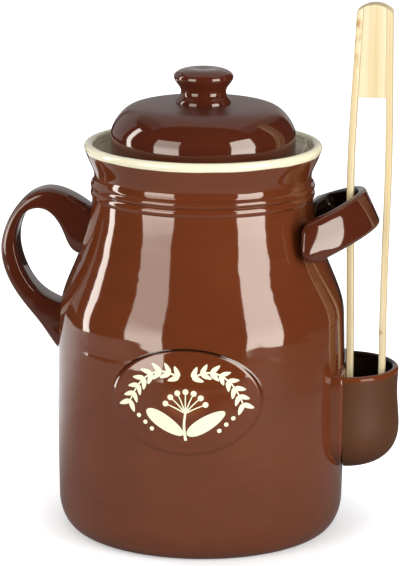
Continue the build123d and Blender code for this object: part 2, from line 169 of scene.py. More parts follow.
class TongsSizes(bpy.types.PropertyGroup):
    """Bamboo tongs."""

    depth: length("Depth", 18.0, "Width of the arms, front to back")
    arm: length("Arm thickness", 4.4, "Thickness of an arm")
    tip: length("Tip thickness", 3.2, "Thickness of an arm at its tip")
    low: length("Tip height", 55.8, "Height of the tips above the table")
    height: length("Length", 321.5, "Length of the tongs")
    block: length("Block", 66.0, "Length of the block between the arms")
    gap: length("Gap", 19.6, "Gap between the arms at the top")
    tip_gap: length("Tip gap", 14.8, "Gap between the tips")
    centre: length("Centre", 115.5, "Distance of the tongs from the jar's axis")
    crown: length("Crown", 9.0, "Height of the rounded top")
    crown_rise: length("Crown rise", 7.2, "Rise of the planed arch within that height")
    edge: length("Edge", 0.8, "Radius of the long edges")


class Finishes(bpy.types.PropertyGroup):
    """Colours and surface finishes."""

    glaze: colour("Glaze", (0.148, 0.034, 0.0098), "Brown glaze of the jar")
    glaze_deep: colour("Deep glaze", (0.084, 0.017, 0.006), "Brown glaze of the jar where it lies thick")
    dark_glaze: colour("Dark glaze", (0.085, 0.0165, 0.0065), "Thicker glaze of lid, handle and loop")
    dark_glaze_deep: colour("Deep dark glaze", (0.05, 0.0095, 0.004), "The darkest of that glaze")
    glaze_thin: colour("Thin glaze", (0.26, 0.075, 0.028), "Brown glaze where it breaks over an edge")
    cream: colour("Cream", (0.94, 0.88, 0.64), "Cream glaze inside the collar")
    cream_deep: colour("Deep cream", (0.7, 0.55, 0.3), "Faint clouds in the cream glaze")
    cup: colour("Cup", (0.09, 0.031, 0.011), "Satin brown of the half cup")
    # Painted shade: near-black colour laid inside the half cup and the strap loop, and in the upper groove
    # round the medallion, where little light falls.
    dark_inside: colour("Dark inside", (0.012, 0.004, 0.002), "Dark glaze inside the half cup and the loop")
    paint: colour("Paint", (1.0, 0.97, 0.68), "Cream paint of the design")
    bamboo: colour("Bamboo", (0.71, 0.55, 0.3), "Bamboo")
    bamboo_pale: colour("Pale bamboo", (0.79, 0.67, 0.43), "Pale fibres of the bamboo")
    bamboo_dark: colour("Dark bamboo", (0.44, 0.24, 0.05), "Fibres and node marks of the bamboo")
    bamboo_roughness: share("Bamboo roughness", 0.55, "Roughness of the bamboo")
    stone: colour("Stoneware", (0.5, 0.38, 0.26), "Unglazed stoneware of the weights")
    glaze_roughness: share("Glaze roughness", 0.06, "Roughness of the brown glaze")
    crown_roughness: share("Crown roughness", 0.3, "How much rougher the glaze is on the lid's crown")
    crown_fade: length("Crown fade", 11.0, "Depth below the crown where the lid is fully glossy")
    glaze_ior: share("Glaze index", 1.75, "Refractive index of the glossy glaze")
    unevenness: length("Unevenness", 1.15, "Depth of the soft unevenness in the glaze")
    cup_roughness: share("Cup roughness", 0.56, "Roughness of the half cup")
    warmth: colour("Warmth", (1.0, 0.9, 0.8), "Tint of what the glaze reflects")


class StageSizes(bpy.types.PropertyGroup):
    """Camera, table and lights."""

    camera_distance: length("Camera distance", 2024.8, "Distance of the camera from the axis")
    camera_height: length("Camera height", 657.2, "Height of the camera above the table")
    camera_azimuth: angle("Camera azimuth", 6.0, "Direction of the camera, from the front to the right")
    heading: angle("Heading", 6.043, "Direction the camera looks in")
    pitch: angle("Pitch", 13.406, "How far the camera looks down")
    roll: angle("Roll", 0.409, "Turn of the camera about its own axis")
    focal: share("Focal length in pixels", 2952.4, "Focal length of the camera in pixels of the image")
    table_front: length("Table front", 630.0, "Distance of the table's front edge from the axis")
    table_fade: length("Table fade", 260.0, "Depth over which the table's front falls into shade")
    table_half: length("Table half width", 800.0, "Half of the table's width")
    table_back: length("Table back", 800.0, "Distance of the table's back edge from the axis")
    floor_half: length("Floor half width", 30000.0, "Half of the width of the white floor behind the table")
    table_tone: share("Table tone", 0.38, "How pale the table is")
    table_shade: share("Table shade", 0.7, "How much darker the table is on the right")
    table_glow: share("Table glow", 0.85, "Light that the table gives behind the jar's left side")
    floor_glow: share("Floor glow", 0.28, "Light that the white floor gives by itself near the jar")
    glow_near: length("Glow near", 60.0, "Distance from the axis where the floor starts to get whiter")
    glow_far: length("Glow far", 200.0, "Distance from the axis where the floor is quite white")
    world_light: share("World light", 0.03, "Dim light of the dark studio")
    left_power: share("Left softbox", 9.2, "Power of the left softbox in watts")
    right_power: share("Right softbox", 18.5, "Power of the right softbox in watts")
    left_lift: share("Left lift", 0.8, "How much brighter the left softbox is at its foot")
    right_lift: share("Right lift", 0.15, "How much brighter the right softbox is at its foot")
    strip_power: share("Strip power", 5.0, "Power of the strip light on the left in watts")
    overhead_power: share("Overhead power", 7.0, "Power of the overhead light in watts")
    ceiling_power: share("Ceiling power", 13.0, "Power of the wide, dim light above it in watts")
    fill_power: share("Fill power", 10.5, "Power of the fill light beside the camera in watts")
    top_power: share("Top power", 5.0, "Power of the light above the jar's front in watts")
    back_power: share("Back power", 8.0, "Power of the light behind the jar in watts")
    side_power: share("Side power", 2.0, "Power of the soft light behind the jar's left side in watts")


# Curves


def smooth_curve(points, start=None, end=None, count=48):
    """Points along a smooth curve through the given points, with optional end directions."""
    knots = np.array(points, float)
    steps = np.linalg.norm(np.diff(knots, axis=0), axis=1)
    place = np.concatenate([[0.0], np.cumsum(steps)])
    size = len(knots)
    system = np.zeros((size, size))
    known = np.zeros_like(knots)
    for i in range(1, size - 1):
        system[i, i - 1] = steps[i]
        system[i, i] = 2.0 * (steps[i - 1] + steps[i])
        system[i, i + 1] = steps[i - 1]
        before = (knots[i] - knots[i - 1]) / steps[i - 1]
        after = (knots[i + 1] - knots[i]) / steps[i]
        known[i] = 3.0 * (steps[i] * before + steps[i - 1] * after)
    for row, near, direction in ((0, 1, start), (size - 1, size - 2, end)):
        if direction is not None:
            system[row, row] = 1.0
            known[row] = np.array(direction, float) / np.linalg.norm(direction)
        else:
            low, high = (row, near) if row < near else (near, row)
            system[row, row] = 2.0
            system[row, near] = 1.0
            known[row] = 3.0 * (knots[high] - knots[low]) / steps[low]
    slopes = np.linalg.solve(system, known)
    out = []
    for t in np.linspace(0.0, place[-1], count):
        i = min(max(int(np.searchsorted(place, t, side="right")) - 1, 0), size - 2)
        h = steps[i]
        s = (t - place[i]) / h
        out.append(tuple(
            (2 * s**3 - 3 * s**2 + 1) * knots[i] + (s**3 - 2 * s**2 + s) * h * slopes[i]
            + (3 * s**2 - 2 * s**3) * knots[i + 1] + (s**3 - s**2) * h * slopes[i + 1]))
    return out


def arc_through(first, middle, last, count=12):
    """Points along the circle through three points in a plane."""
    ax, ay = first
    bx, by = middle
    cx, cy = last
    d = 2.0 * (ax * (by - cy) + bx * (cy - ay) + cx * (ay - by))
    ux = ((ax**2 + ay**2) * (by - cy) + (bx**2 + by**2) * (cy - ay) + (cx**2 + cy**2) * (ay - by)) / d
    uy = ((ax**2 + ay**2) * (cx - bx) + (bx**2 + by**2) * (ax - cx) + (cx**2 + cy**2) * (bx - ax)) / d
    radius = math.hypot(ax - ux, ay - uy)
    angles = [math.atan2(y - uy, x - ux) for x, y in (first, middle, last)]
    for i in (1, 2):
        while angles[i] - angles[i - 1] > math.pi:
            angles[i] -= 2.0 * math.pi
        while angles[i] - angles[i - 1] < -math.pi:
            angles[i] += 2.0 * math.pi
    return [
        (ux + radius * math.cos(a), uy + radius * math.sin(a))
        for a in np.linspace(angles[0], angles[2], count)
    ]


def rounded_corner(before, corner, after, radius, count=6):
    """Points that round a corner of an outline."""
    a, c, b = Vector(before), Vector(corner), Vector(after)
    to_a, to_b = (a - c).normalized(), (b - c).normalized()
    half = to_a.angle(to_b) / 2.0
    reach = min(radius / math.tan(half), (a - c).length * 0.49, (b - c).length * 0.49)
    centre = c + (to_a + to_b).normalized() * (reach / math.cos(half))
    first, last = c + to_a * reach, c + to_b * reach
    middle = centre + (c - centre).normalized() * (reach * math.tan(half))
    return arc_through(tuple(first), tuple(middle), tuple(last), count)


def superellipse(half_a, half_b, power, count):
    """Closed loop of points on an oval whose sides flatten as power falls."""
    loop = []
    for i in range(count):
        t = 2.0 * math.pi * i / count
        loop.append((
            half_a * math.copysign(abs(math.cos(t)) ** power, math.cos(t)),
            half_b * math.copysign(abs(math.sin(t)) ** power, math.sin(t)),
        ))
    return loop


# Meshes


def built_once(collection):
    """Decorator for builders whose first value is a name: what has that name is used, not built again."""
    def decorate(build):
        @functools.wraps(build)
        def find_or_build(name, *values):
            return getattr(bpy.data, collection).get(name) or build(name, *values)
        return find_or_build
    return decorate


def linked_object(name, data):
    """New object with its data, linked to the scene."""
    item = bpy.data.objects.new(name, data)
    bpy.context.scene.collection.objects.link(item)
    return item


def new_mesh(name, vertices, faces):
    """Mesh from vertices and faces."""
    mesh = bpy.data.meshes.new(name)
    mesh.from_pydata([tuple(vertex) for vertex in vertices], [], faces)
    mesh.validate()
    return mesh


def finish_piece(name, mesh, material, body, replaced, sharp=40.0):
    """Smooth-shaded object of a mesh that rides on its body, in place of a CAD node if one is named.

    Edges sharper than the angle sharp, in degrees, stay sharp.
    """
    mesh.update()
    if not mesh.materials:
        mesh.materials.append(material)
    mesh.polygons.foreach_set("use_smooth", [True] * len(mesh.polygons))
    mesh.set_sharp_from_angle(angle=math.radians(sharp))
    item = linked_object(name, mesh)
    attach(item, body)
    if replaced:
        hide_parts(replaced)


def turned_mesh(profile, segments):
    """Vertices and faces of an outline of (radius, height) points turned about the jar's axis.

    A closed outline repeats its first point at the end; an outline may also start or end on the axis.
    """
    closed = math.dist(profile[0], profile[-1]) < SAME_PLACE
    outline = profile[:-1] if closed else profile
    vertices = []
    rings = []
    for radius, height in outline:
        if radius < SAME_PLACE:
            rings.append([len(vertices)])
            vertices.append((0.0, 0.0, height))
        else:
            rings.append(list(range(len(vertices), len(vertices) + segments)))
            for i in range(segments):
                t = 2.0 * math.pi * i / segments
                vertices.append((radius * math.cos(t), radius * math.sin(t), height))
    faces = []
    pairs = list(zip(rings, rings[1:])) + ([(rings[-1], rings[0])] if closed else [])
    for low, high in pairs:
        for i in range(segments):
            j = (i + 1) % segments
            if len(low) == 1 and len(high) == 1:
                break
            if len(low) == 1:
                faces.append((low[0], high[j], high[i]))
            elif len(high) == 1:
                faces.append((low[i], low[j], high[0]))
            else:
                faces.append((low[i], low[j], high[j], high[i]))
    return vertices, faces


def swept_faces(rings, count):
    """Faces between neighbouring rings of count points; the last two close the ends."""
    faces = []
    for a in range(0, (rings - 1) * count, count):
        for i in range(count):
            j = (i + 1) % count
            faces.append((a + i, a + j, a + count + j, a + count + i))
    faces.append(tuple(reversed(range(count))))
    faces.append(tuple(range((rings - 1) * count, rings * count)))
    return faces


def join_points(*parts):
    """One outline from several, without points that repeat."""
    out = []
    for part in parts:
        for point in part:
            if not out or math.dist(point, out[-1]) > SAME_PLACE:
                out.append(tuple(point))
    return out


# Geometry nodes


def node(tree, kind, inputs, **settings):
    """New node with its settings; each input, by name or place, takes a value or is linked to a socket."""
    made = tree.nodes.new(kind)
    for name, value in settings.items():
        setattr(made, name, value)
    for name, value in inputs.items():
        if isinstance(value, bpy.types.NodeSocket):
            tree.links.new(value, made.inputs[name])
        else:
            made.inputs[name].default_value = value
    return made


def new_group(name, tree_kind, inputs, outputs):
    """New node group, its input sockets and its output sockets.

    Each socket is given as its name with its kind and, if it has one, its default.
    """
    group = bpy.data.node_groups.new(name, tree_kind)
    for flow, sockets in (("INPUT", inputs), ("OUTPUT", outputs)):
        for title, (kind, *default) in sockets.items():
            item = group.interface.new_socket(name=title, in_out=flow, socket_type="NodeSocket" + kind)
            if default:
                item.default_value = default[0]
    return group, group.nodes.new("NodeGroupInput").outputs, group.nodes.new("NodeGroupOutput").inputs


def maths(tree, operation, *values):
    """Result of a Math node whose inputs are sockets or numbers."""
    return node(tree, "ShaderNodeMath", dict(enumerate(values)), operation=operation).outputs[0]


def product(tree, *values):
    """Product of sockets and numbers."""
    return functools.reduce(lambda first, second: maths(tree, "MULTIPLY", first, second), values)


def combined(tree, x, y, z=0.0):
    """Vector of three sockets or numbers."""
    return node(tree, "ShaderNodeCombineXYZ", {0: x, 1: y, 2: z}).outputs[0]


def vector_length(tree, vector):
    """Length of a vector."""
    return node(tree, "ShaderNodeVectorMath", {0: vector}, operation="LENGTH").outputs["Value"]


@built_once("node_groups")
def throwing_rings_group(name):
    """Geometry node group that presses soft rings into a thrown piece, inwards only."""
    group, given, result = new_group(
        name, "GeometryNodeTree",
        {"Geometry": ("Geometry",), "Depth": ("Float", 0.1 * MM), "Spacing": ("Float", 9.0 * MM),
         "Seed": ("Float", 1.0)},
        {"Geometry": ("Geometry",)})
    position = group.nodes.new("GeometryNodeInputPosition").outputs[0]
    x, y, z = node(group, "ShaderNodeSeparateXYZ", {0: position}).outputs
    ring_length_share = 7.0
    around = product(group, given["Spacing"], ring_length_share)
    scaled = combined(
        group, maths(group, "DIVIDE", x, around), maths(group, "DIVIDE", y, around),
        maths(group, "DIVIDE", z, given["Spacing"]))
    pattern = node(
        group, "ShaderNodeTexNoise", {"Vector": scaled, "W": given["Seed"], "Scale": 1.0, "Detail": 1.5},
        noise_dimensions="4D").outputs[0]
    radius = maths(group, "MAXIMUM", vector_length(group, combined(group, x, y)), MM)
    press = maths(group, "DIVIDE", product(group, pattern, given["Depth"], -1.0), radius)
    offset = combined(group, product(group, x, press), product(group, y, press))
    moved = node(group, "GeometryNodeSetPosition", {"Geometry": given["Geometry"], "Offset": offset})
    group.links.new(moved.outputs[0], result[0])
    return group


def leaf_row_group(leaf, material):
    """Geometry node group that lays pairs of leaves along the curves it is given."""
    group, given, result = new_group(
        "leaf_row", "GeometryNodeTree",
        {"Geometry": ("Geometry",), "Pairs": ("Int", 6), "Lean": ("Float", 0.7), "Seed": ("Int", 3)},
        {"Geometry": ("Geometry",)})
    joined = group.nodes.new("GeometryNodeJoinGeometry")
    shape = node(group, "GeometryNodeObjectInfo", {"Object": leaf})
    places = {"Curve": given["Geometry"], "Count": given["Pairs"]}
    points = node(group, "GeometryNodeCurveToPoints", places, mode="COUNT")
    tangent = {"Vector": points.outputs["Tangent"]}
    along = node(group, "FunctionNodeAlignRotationToVector", tangent, axis="X", pivot_axis="Z")
    for side in (1.0, -1.0):
        lean = combined(group, 0.0, 0.0, product(group, given["Lean"], side))
        turn = node(group, "FunctionNodeEulerToRotation", {0: lean})
        turns = {0: along.outputs[0], 1: turn.outputs[0]}
        rotation = node(group, "FunctionNodeRotateRotation", turns, rotation_space="LOCAL")
        scales = {"Min": 0.85, "Max": 1.0, "Seed": given["Seed"]}
        size = node(group, "FunctionNodeRandomValue", scales, data_type="FLOAT")
        leaves = node(group, "GeometryNodeInstanceOnPoints", {
            "Points": points.outputs["Points"], "Instance": shape.outputs["Geometry"],
            "Rotation": rotation.outputs[0], "Scale": size.outputs[1]})
        group.links.new(leaves.outputs[0], joined.inputs[0])
    real = node(group, "GeometryNodeRealizeInstances", {0: joined.outputs[0]})
    painted = node(group, "GeometryNodeSetMaterial", {0: real.outputs[0], "Material": material})
    group.links.new(painted.outputs[0], result[0])
    return group


def through_nodes(source, group, values):
    """Mesh that a geometry node group makes from an object; the object is removed afterwards."""
    modifier = source.modifiers.new("build", "NODES")
    modifier.node_group = group
    for item in group.interface.items_tree:
        if item.item_type == "SOCKET" and item.in_out == "INPUT" and item.name in values:
            modifier[item.identifier] = values[item.name]
    bpy.context.view_layer.update()
    graph = bpy.context.evaluated_depsgraph_get()
    made = bpy.data.meshes.new_from_object(source.evaluated_get(graph), depsgraph=graph)
    source.modifiers.remove(modifier)
    bpy.data.objects.remove(source)
    return made


def thrown(name, profile, material, body, replaced, seed, ring_share=1.0):
    """Thrown piece: an outline turned about the axis, with soft throwing rings."""
    sizes = bpy.context.scene.jar_sizes
    blank = linked_object(name + "_blank", new_mesh(name + "_blank", *turned_mesh(profile, sizes.segments)))
    values = {"Depth": sizes.ring_depth * ring_share, "Spacing": sizes.ring_spacing, "Seed": float(seed)}
    made = through_nodes(blank, throwing_rings_group("throwing_rings"), values)
    made.name = name
    finish_piece(name, made, material, body, replaced)


# Materials


def rgba(value):
    """Colour with full alpha."""
    return (value[0], value[1], value[2], 1.0)


def mix_colour(tree, factor, first, second):
    """Mixed colour; each value is a socket, a number or a colour."""
    return node(tree, "ShaderNodeMix", {0: factor, 6: first, 7: second}, data_type="RGBA").outputs[2]


def ramp(tree, value, zero_at, one_at):
    """Smooth step of a value; it rises or falls from zero_at to one_at."""
    inputs = {"Value": value, "From Min": zero_at, "From Max": one_at}
    return node(tree, "ShaderNodeMapRange", inputs, interpolation_type="SMOOTHSTEP").outputs[0]


def noise_value(tree, place, stretch, scale, detail=2.0):
    """Noise over a place, stretched along the axes."""
    mapping = node(tree, "ShaderNodeMapping", {"Vector": place, "Scale": stretch})
    pattern = node(
        tree, "ShaderNodeTexNoise", {"Vector": mapping.outputs[0], "Scale": scale, "Detail": detail})
    return pattern.outputs[0]


def object_place(tree):
    """Object coordinates as one vector and as x, y and z."""
    place = tree.nodes.new("ShaderNodeTexCoord").outputs["Object"]
    return place, *node(tree, "ShaderNodeSeparateXYZ", {0: place}).outputs


def layered(tree, base, *layers):
    """Colour with others laid over it.

    Each layer is a pattern, the values where it shows not at all and fully, its strength and its colour.
    """
    for pattern, zero_at, one_at, strength, over in layers:
        mask = product(tree, ramp(tree, pattern, zero_at, one_at), strength)
        base = mix_colour(tree, mask, base, over)
    return base


@built_once("node_groups")
def glaze_tone_group(name):
    """Shader group: streaky brown glaze that breaks over edges, and the normal of its uneven surface."""
    group, given, result = new_group(
        name, "ShaderNodeTree",
        {"Glaze": ("Color",), "Deep": ("Color",), "Thin": ("Color",), "Unevenness": ("Float",)},
        {"Color": ("Color",), "Normal": ("Vector",)})
    place = object_place(group)[0]
    streaks = noise_value(group, place, stretch=(7.0, 7.0, 90.0), scale=4.0, detail=4.0)
    clouds = noise_value(group, place, stretch=(1.0, 1.0, 1.4), scale=14.0)
    edges = group.nodes.new("ShaderNodeNewGeometry").outputs["Pointiness"]
    tone = layered(
        group, given["Glaze"],
        (streaks, 0.35, 0.7, 0.14, given["Deep"]),
        (clouds, 0.3, 0.75, 0.3, given["Deep"]),
        (edges, 0.53, 0.62, 0.6, given["Thin"]))
    soft = noise_value(group, place, stretch=(1.0, 1.0, 1.2), scale=24.0, detail=1.0)
    rings = noise_value(group, place, stretch=(0.5, 0.5, 2.2), scale=40.0, detail=1.0)
    height = maths(group, "ADD", product(group, soft, 0.6), product(group, rings, 0.3))
    bump = node(group, "ShaderNodeBump", {"Strength": 1.0, "Distance": given["Unevenness"], "Height": height})
    group.links.new(tone, result["Color"])
    group.links.new(bump.outputs[0], result["Normal"])
    return group


def principled(name, values):
    """New material, its tree and its Principled shader with values on its inputs."""
    material = bpy.data.materials.new(name)
    material.use_nodes = True
    tree = material.node_tree
    shader = tree.nodes["Principled BSDF"]
    for title, value in values.items():
        shader.inputs[title].default_value = value
    return material, tree, shader


def toned_material(name, group, tones, values):
    """New material whose colour and normal come from a shader group."""
    material, tree, shader = principled(name, values)
    tone = node(tree, "ShaderNodeGroup", tones, node_tree=group)
    tree.links.new(tone.outputs["Color"], shader.inputs["Base Color"])
    tree.links.new(tone.outputs["Normal"], shader.inputs["Normal"])
    return material


def shader_input(material, title):
    """An input of a material's Principled shader."""
    return material.node_tree.nodes["Principled BSDF"].inputs[title]


def lay_over(material, mask, over):
    """Lays a colour over a material's own where the mask is 1."""
    base = shader_input(material, "Base Color")
    tree = material.node_tree
    tree.links.new(mix_colour(tree, mask, base.links[0].from_socket, over), base)


def glaze_material(name, glaze, deep, roughness, ior):
    """Brown glaze over red clay."""
    looks = bpy.context.scene.jar_finishes
    tones = {
        "Glaze": rgba(glaze), "Deep": rgba(deep), "Thin": rgba(looks.glaze_thin),
        "Unevenness": looks.unevenness}
    return toned_material(
        name, glaze_tone_group("glaze_tone"), tones,
        {"Roughness": roughness, "IOR": ior, "Specular Tint": rgba(looks.warmth)})


@built_once("materials")
def brown_glaze(name):
    """The jar's glossy brown glaze."""
    looks = bpy.context.scene.jar_finishes
    return glaze_material(name, looks.glaze, looks.glaze_deep, looks.glaze_roughness, looks.glaze_ior)


@built_once("materials")
def thick_glaze(name):
    """The thicker, darker glaze of the lid, the handle and the strap loop."""
    looks = bpy.context.scene.jar_finishes
    return glaze_material(
        name, looks.dark_glaze, looks.dark_glaze_deep, looks.glaze_roughness, looks.glaze_ior)


@built_once("materials")
def lid_glaze(name, crown):
    """The thick glaze on the lid, softer on its crown, which is a height."""
    looks = bpy.context.scene.jar_finishes
    material = thick_glaze(name)
    tree = material.node_tree
    height = object_place(tree)[3]
    soft = product(tree, ramp(tree, height, crown - looks.crown_fade, crown), looks.crown_roughness)
    tree.links.new(maths(tree, "ADD", soft, looks.glaze_roughness), shader_input(material, "Roughness"))
    return material


@built_once("materials")
def two_glaze_material(name, edge_height, inner_radius):
    """Brown glaze, with cream glaze above edge_height and inside inner_radius; its edge is slightly wavy."""
    looks = bpy.context.scene.jar_finishes
    material = brown_glaze(name)
    tree = material.node_tree
    place, x, y, z = object_place(tree)
    wave, edge_blur, inner_blur, even = 2.2 * MM, 0.4 * MM, 0.3 * MM, (1.0, 1.0, 1.0)
    waves = product(tree, noise_value(tree, place, even, scale=22.0), wave)
    waves = maths(tree, "SUBTRACT", waves, wave / 2.0)
    above = ramp(tree, maths(tree, "ADD", z, waves), edge_height - edge_blur, edge_height + edge_blur)
    radius = vector_length(tree, combined(tree, x, y))
    inside = ramp(tree, radius, inner_radius + inner_blur, inner_radius - inner_blur)
    clouds = product(tree, noise_value(tree, place, even, scale=30.0, detail=3.0), 0.12)
    cream = mix_colour(tree, clouds, rgba(looks.cream), rgba(looks.cream_deep))
    lay_over(material, maths(tree, "MAXIMUM", above, inside), cream)
    return material


def darken_inside(material, centre, halves, origin, tilt, floor):
    """Paints shade inside an oval hollow, by darkening the glaze where the hollow lies in shade.

    The oval's centre and half axes lie in a plane that rises outwards by tilt from origin, a height on the
    jar's axis; floor is the height above which the hollow is dark.
    """
    tree = material.node_tree
    x, y, z = object_place(tree)[1:]
    rise = maths(tree, "SUBTRACT", z, origin)
    along = maths(tree, "ADD", product(tree, x, math.cos(tilt)), product(tree, rise, math.sin(tilt)))
    parts = [
        maths(tree, "DIVIDE", maths(tree, "SUBTRACT", place, middle), half)
        for place, middle, half in zip((along, y), centre, halves)
    ]
    edge_share = 0.015
    near = ramp(tree, vector_length(tree, combined(tree, *parts)), 1.0 + edge_share, 1.0 - edge_share)
    high = ramp(tree, z, floor - 2.0 * MM, floor - MM)
    # Painted shade: dark colour over the glaze inside the hollow.
    lay_over(material, product(tree, near, high), rgba(bpy.context.scene.jar_finishes.dark_inside))


@built_once("materials")
def medallion_material(name, applied):
    """The jar's glaze, with painted shade in the upper part of the groove round the medallion."""
    darkest_share, lowest_share = 0.985, -0.2
    material = brown_glaze(name)
    tree = material.node_tree
    x, _, z = object_place(tree)[1:]
    rise = maths(tree, "SUBTRACT", z, applied.oval_height)
    place = combined(
        tree, maths(tree, "DIVIDE", x, applied.oval_half_width),
        maths(tree, "DIVIDE", rise, applied.oval_half_height))
    # Painted shade: dark colour in the groove's upper part, where the medallion's edge faces down away from
    # the light above.
    groove = ramp(tree, vector_length(tree, place), 1.0 - applied.oval_edge, darkest_share)
    upper = ramp(tree, rise, lowest_share * applied.oval_half_height, applied.oval_half_height)
    lay_over(material, product(tree, groove, upper), rgba(bpy.context.scene.jar_finishes.dark_inside))
    return material


@built_once("materials")
def cup_material(name, applied):
    """Satin brown half cup with a glossy rim, and painted shade inside it above its rounded foot."""
    looks = bpy.context.scene.jar_finishes
    deep_share, rim_share, hollow_share, satin_ior = 0.8, 0.6, 0.42, 1.4
    deep = [part * deep_share for part in looks.cup]
    material = glaze_material(name, looks.cup, deep, looks.cup_roughness, satin_ior)
    tree = material.node_tree
    top = applied.cup_low + applied.cup_height
    inset = applied.cup_wall * rim_share
    rim = ramp(tree, object_place(tree)[3], top - applied.cup_wall, top - inset)
    lay_over(material, rim, rgba(looks.glaze))
    gloss = product(tree, rim, looks.cup_roughness - looks.glaze_roughness)
    tree.links.new(maths(tree, "SUBTRACT", looks.cup_roughness, gloss), shader_input(material, "Roughness"))
    # Painted shade inside the cup's hollow.
    darken_inside(
        material, (applied.pad_face, applied.cup_shift),
        (applied.cup_radius - inset, applied.cup_half - inset),
        origin=0.0, tilt=0.0, floor=applied.cup_low + applied.cup_height * hollow_share)
    return material


@built_once("materials")
def strap_material(name, applied):
    """Thick glaze that swells in the middle of the strap loop's band, and painted shade inside the loop."""
    material = thick_glaze(name)
    inner_share = 0.6
    inset = applied.strap_thickness * inner_share
    # Painted shade inside the loop, where little light reaches.
    darken_inside(
        material, (applied.strap_centre, 0.0),
        (applied.strap_reach - applied.strap_centre - inset, applied.strap_half - inset),
        applied.strap_level, applied.strap_tilt, floor=0.0)
    tree = material.node_tree
    x, _, z = object_place(tree)[1:]
    rise = maths(tree, "SUBTRACT", z, applied.strap_level)
    up = maths(
        tree, "SUBTRACT", product(tree, rise, math.cos(applied.strap_tilt)),
        product(tree, x, math.sin(applied.strap_tilt)))
    part = maths(tree, "DIVIDE", up, applied.strap_band / 2.0)
    normal = shader_input(material, "Normal")
    swell = node(tree, "ShaderNodeBump", {
        "Distance": applied.strap_crown, "Height": product(tree, part, part, -1.0),
        "Normal": normal.links[0].from_socket})
    tree.links.new(swell.outputs[0], normal)
    return material


@built_once("node_groups")
def bamboo_tone_group(name):
    """Shader group: long bamboo fibres with a fine relief, and a ragged node mark with mottling round it."""
    group, given, result = new_group(
        name, "ShaderNodeTree",
        {"Bamboo": ("Color",), "Pale": ("Color",), "Dark": ("Color",),
         "Node height": ("Float",), "Node reach": ("Float",), "Mottle": ("Float",)},
        {"Color": ("Color",), "Normal": ("Vector",)})
    place, x, _, z = object_place(group)
    fibres = noise_value(group, place, stretch=(1.0, 1.0, 0.012), scale=900.0, detail=3.0)
    bands = noise_value(group, place, stretch=(1.0, 1.0, 0.03), scale=190.0)
    spots = noise_value(group, place, stretch=(1.0, 1.0, 0.35), scale=300.0, detail=3.0)
    across, up = [
        maths(group, "DIVIDE", maths(group, "SUBTRACT", axis, given[centre]), spread)
        for axis, centre, spread in ((x, "Node reach", 3.5 * MM), (z, "Node height", 2.2 * MM))
    ]
    far = vector_length(group, combined(group, across, 0.0, up))
    ragged = maths(group, "ADD", far, product(group, fibres, 0.9))
    mottling = product(group, ramp(group, far, 22.0, 4.0), given["Mottle"])
    tone = layered(
        group, given["Pale"],
        (bands, 0.35, 0.68, 1.0, given["Bamboo"]),
        (fibres, 0.56, 0.78, 0.28, given["Dark"]),
        (ragged, 1.6, 0.75, 0.75, given["Dark"]),
        (spots, 0.47, 0.62, mottling, given["Dark"]))
    relief = node(group, "ShaderNodeBump", {"Strength": 0.25, "Distance": 0.4 * MM, "Height": fibres})
    group.links.new(tone, result["Color"])
    group.links.new(relief.outputs[0], result["Normal"])
    return group


@built_once("materials")
def bamboo_material(name, node_height, node_reach, mottle):
    """Planed bamboo with a node mark at a height and a distance from the jar's axis."""
    looks = bpy.context.scene.jar_finishes
    tones = {
        "Bamboo": rgba(looks.bamboo), "Pale": rgba(looks.bamboo_pale), "Dark": rgba(looks.bamboo_dark),
        "Node height": node_height, "Node reach": node_reach, "Mottle": mottle}
    return toned_material(
        name, bamboo_tone_group("bamboo_tone"), tones, {"Roughness": looks.bamboo_roughness})


@built_once("materials")
def plain_material(name, value, roughness, grain):
    """Matt or satin colour with fine specks that are darker by grain."""
    material, tree, shader = principled(name, {"Roughness": roughness, "Base Color": rgba(value)})
    if grain:
        specks = noise_value(tree, object_place(tree)[0], stretch=(1.0, 1.0, 1.0), scale=350.0, detail=3.0)
        darker = rgba([part * (1.0 - grain) for part in value])
        tree.links.new(mix_colour(tree, specks, rgba(value), darker), shader.inputs["Base Color"])
    return material


# Thrown pieces


def wall_points(sizes, count=40):
    """Wall outline from above the rounded base to the neck."""
    lower_wall = arc_through(
        (sizes.low_radius, sizes.base_height),
        (sizes.belly_radius, sizes.belly_height),
        (sizes.top_radius, sizes.top_height), count)
    upright, into_neck = (0.0, 1.0), (-0.0875, 1.0)
    shoulder = smooth_curve([
        (sizes.top_radius, sizes.top_height),
        (sizes.shoulder_low_radius, sizes.shoulder_low_height),
        (sizes.shoulder_high_radius, sizes.shoulder_high_height),
        (sizes.neck_radius, sizes.neck_height),
    ], upright, into_neck, count)
    return join_points(lower_wall, shoulder)


@functools.lru_cache
def wall_table():
    """Heights and radii of the jar's wall, from the rounded base to the neck."""
    outline = wall_points(bpy.context.scene.jar_sizes, 60)
    return [z for _, z in outline], [r for r, _ in outline]


def wall_radius(height):
    """Outer radius of the jar's wall at a height."""
    return float(np.interp(height, *wall_table()))


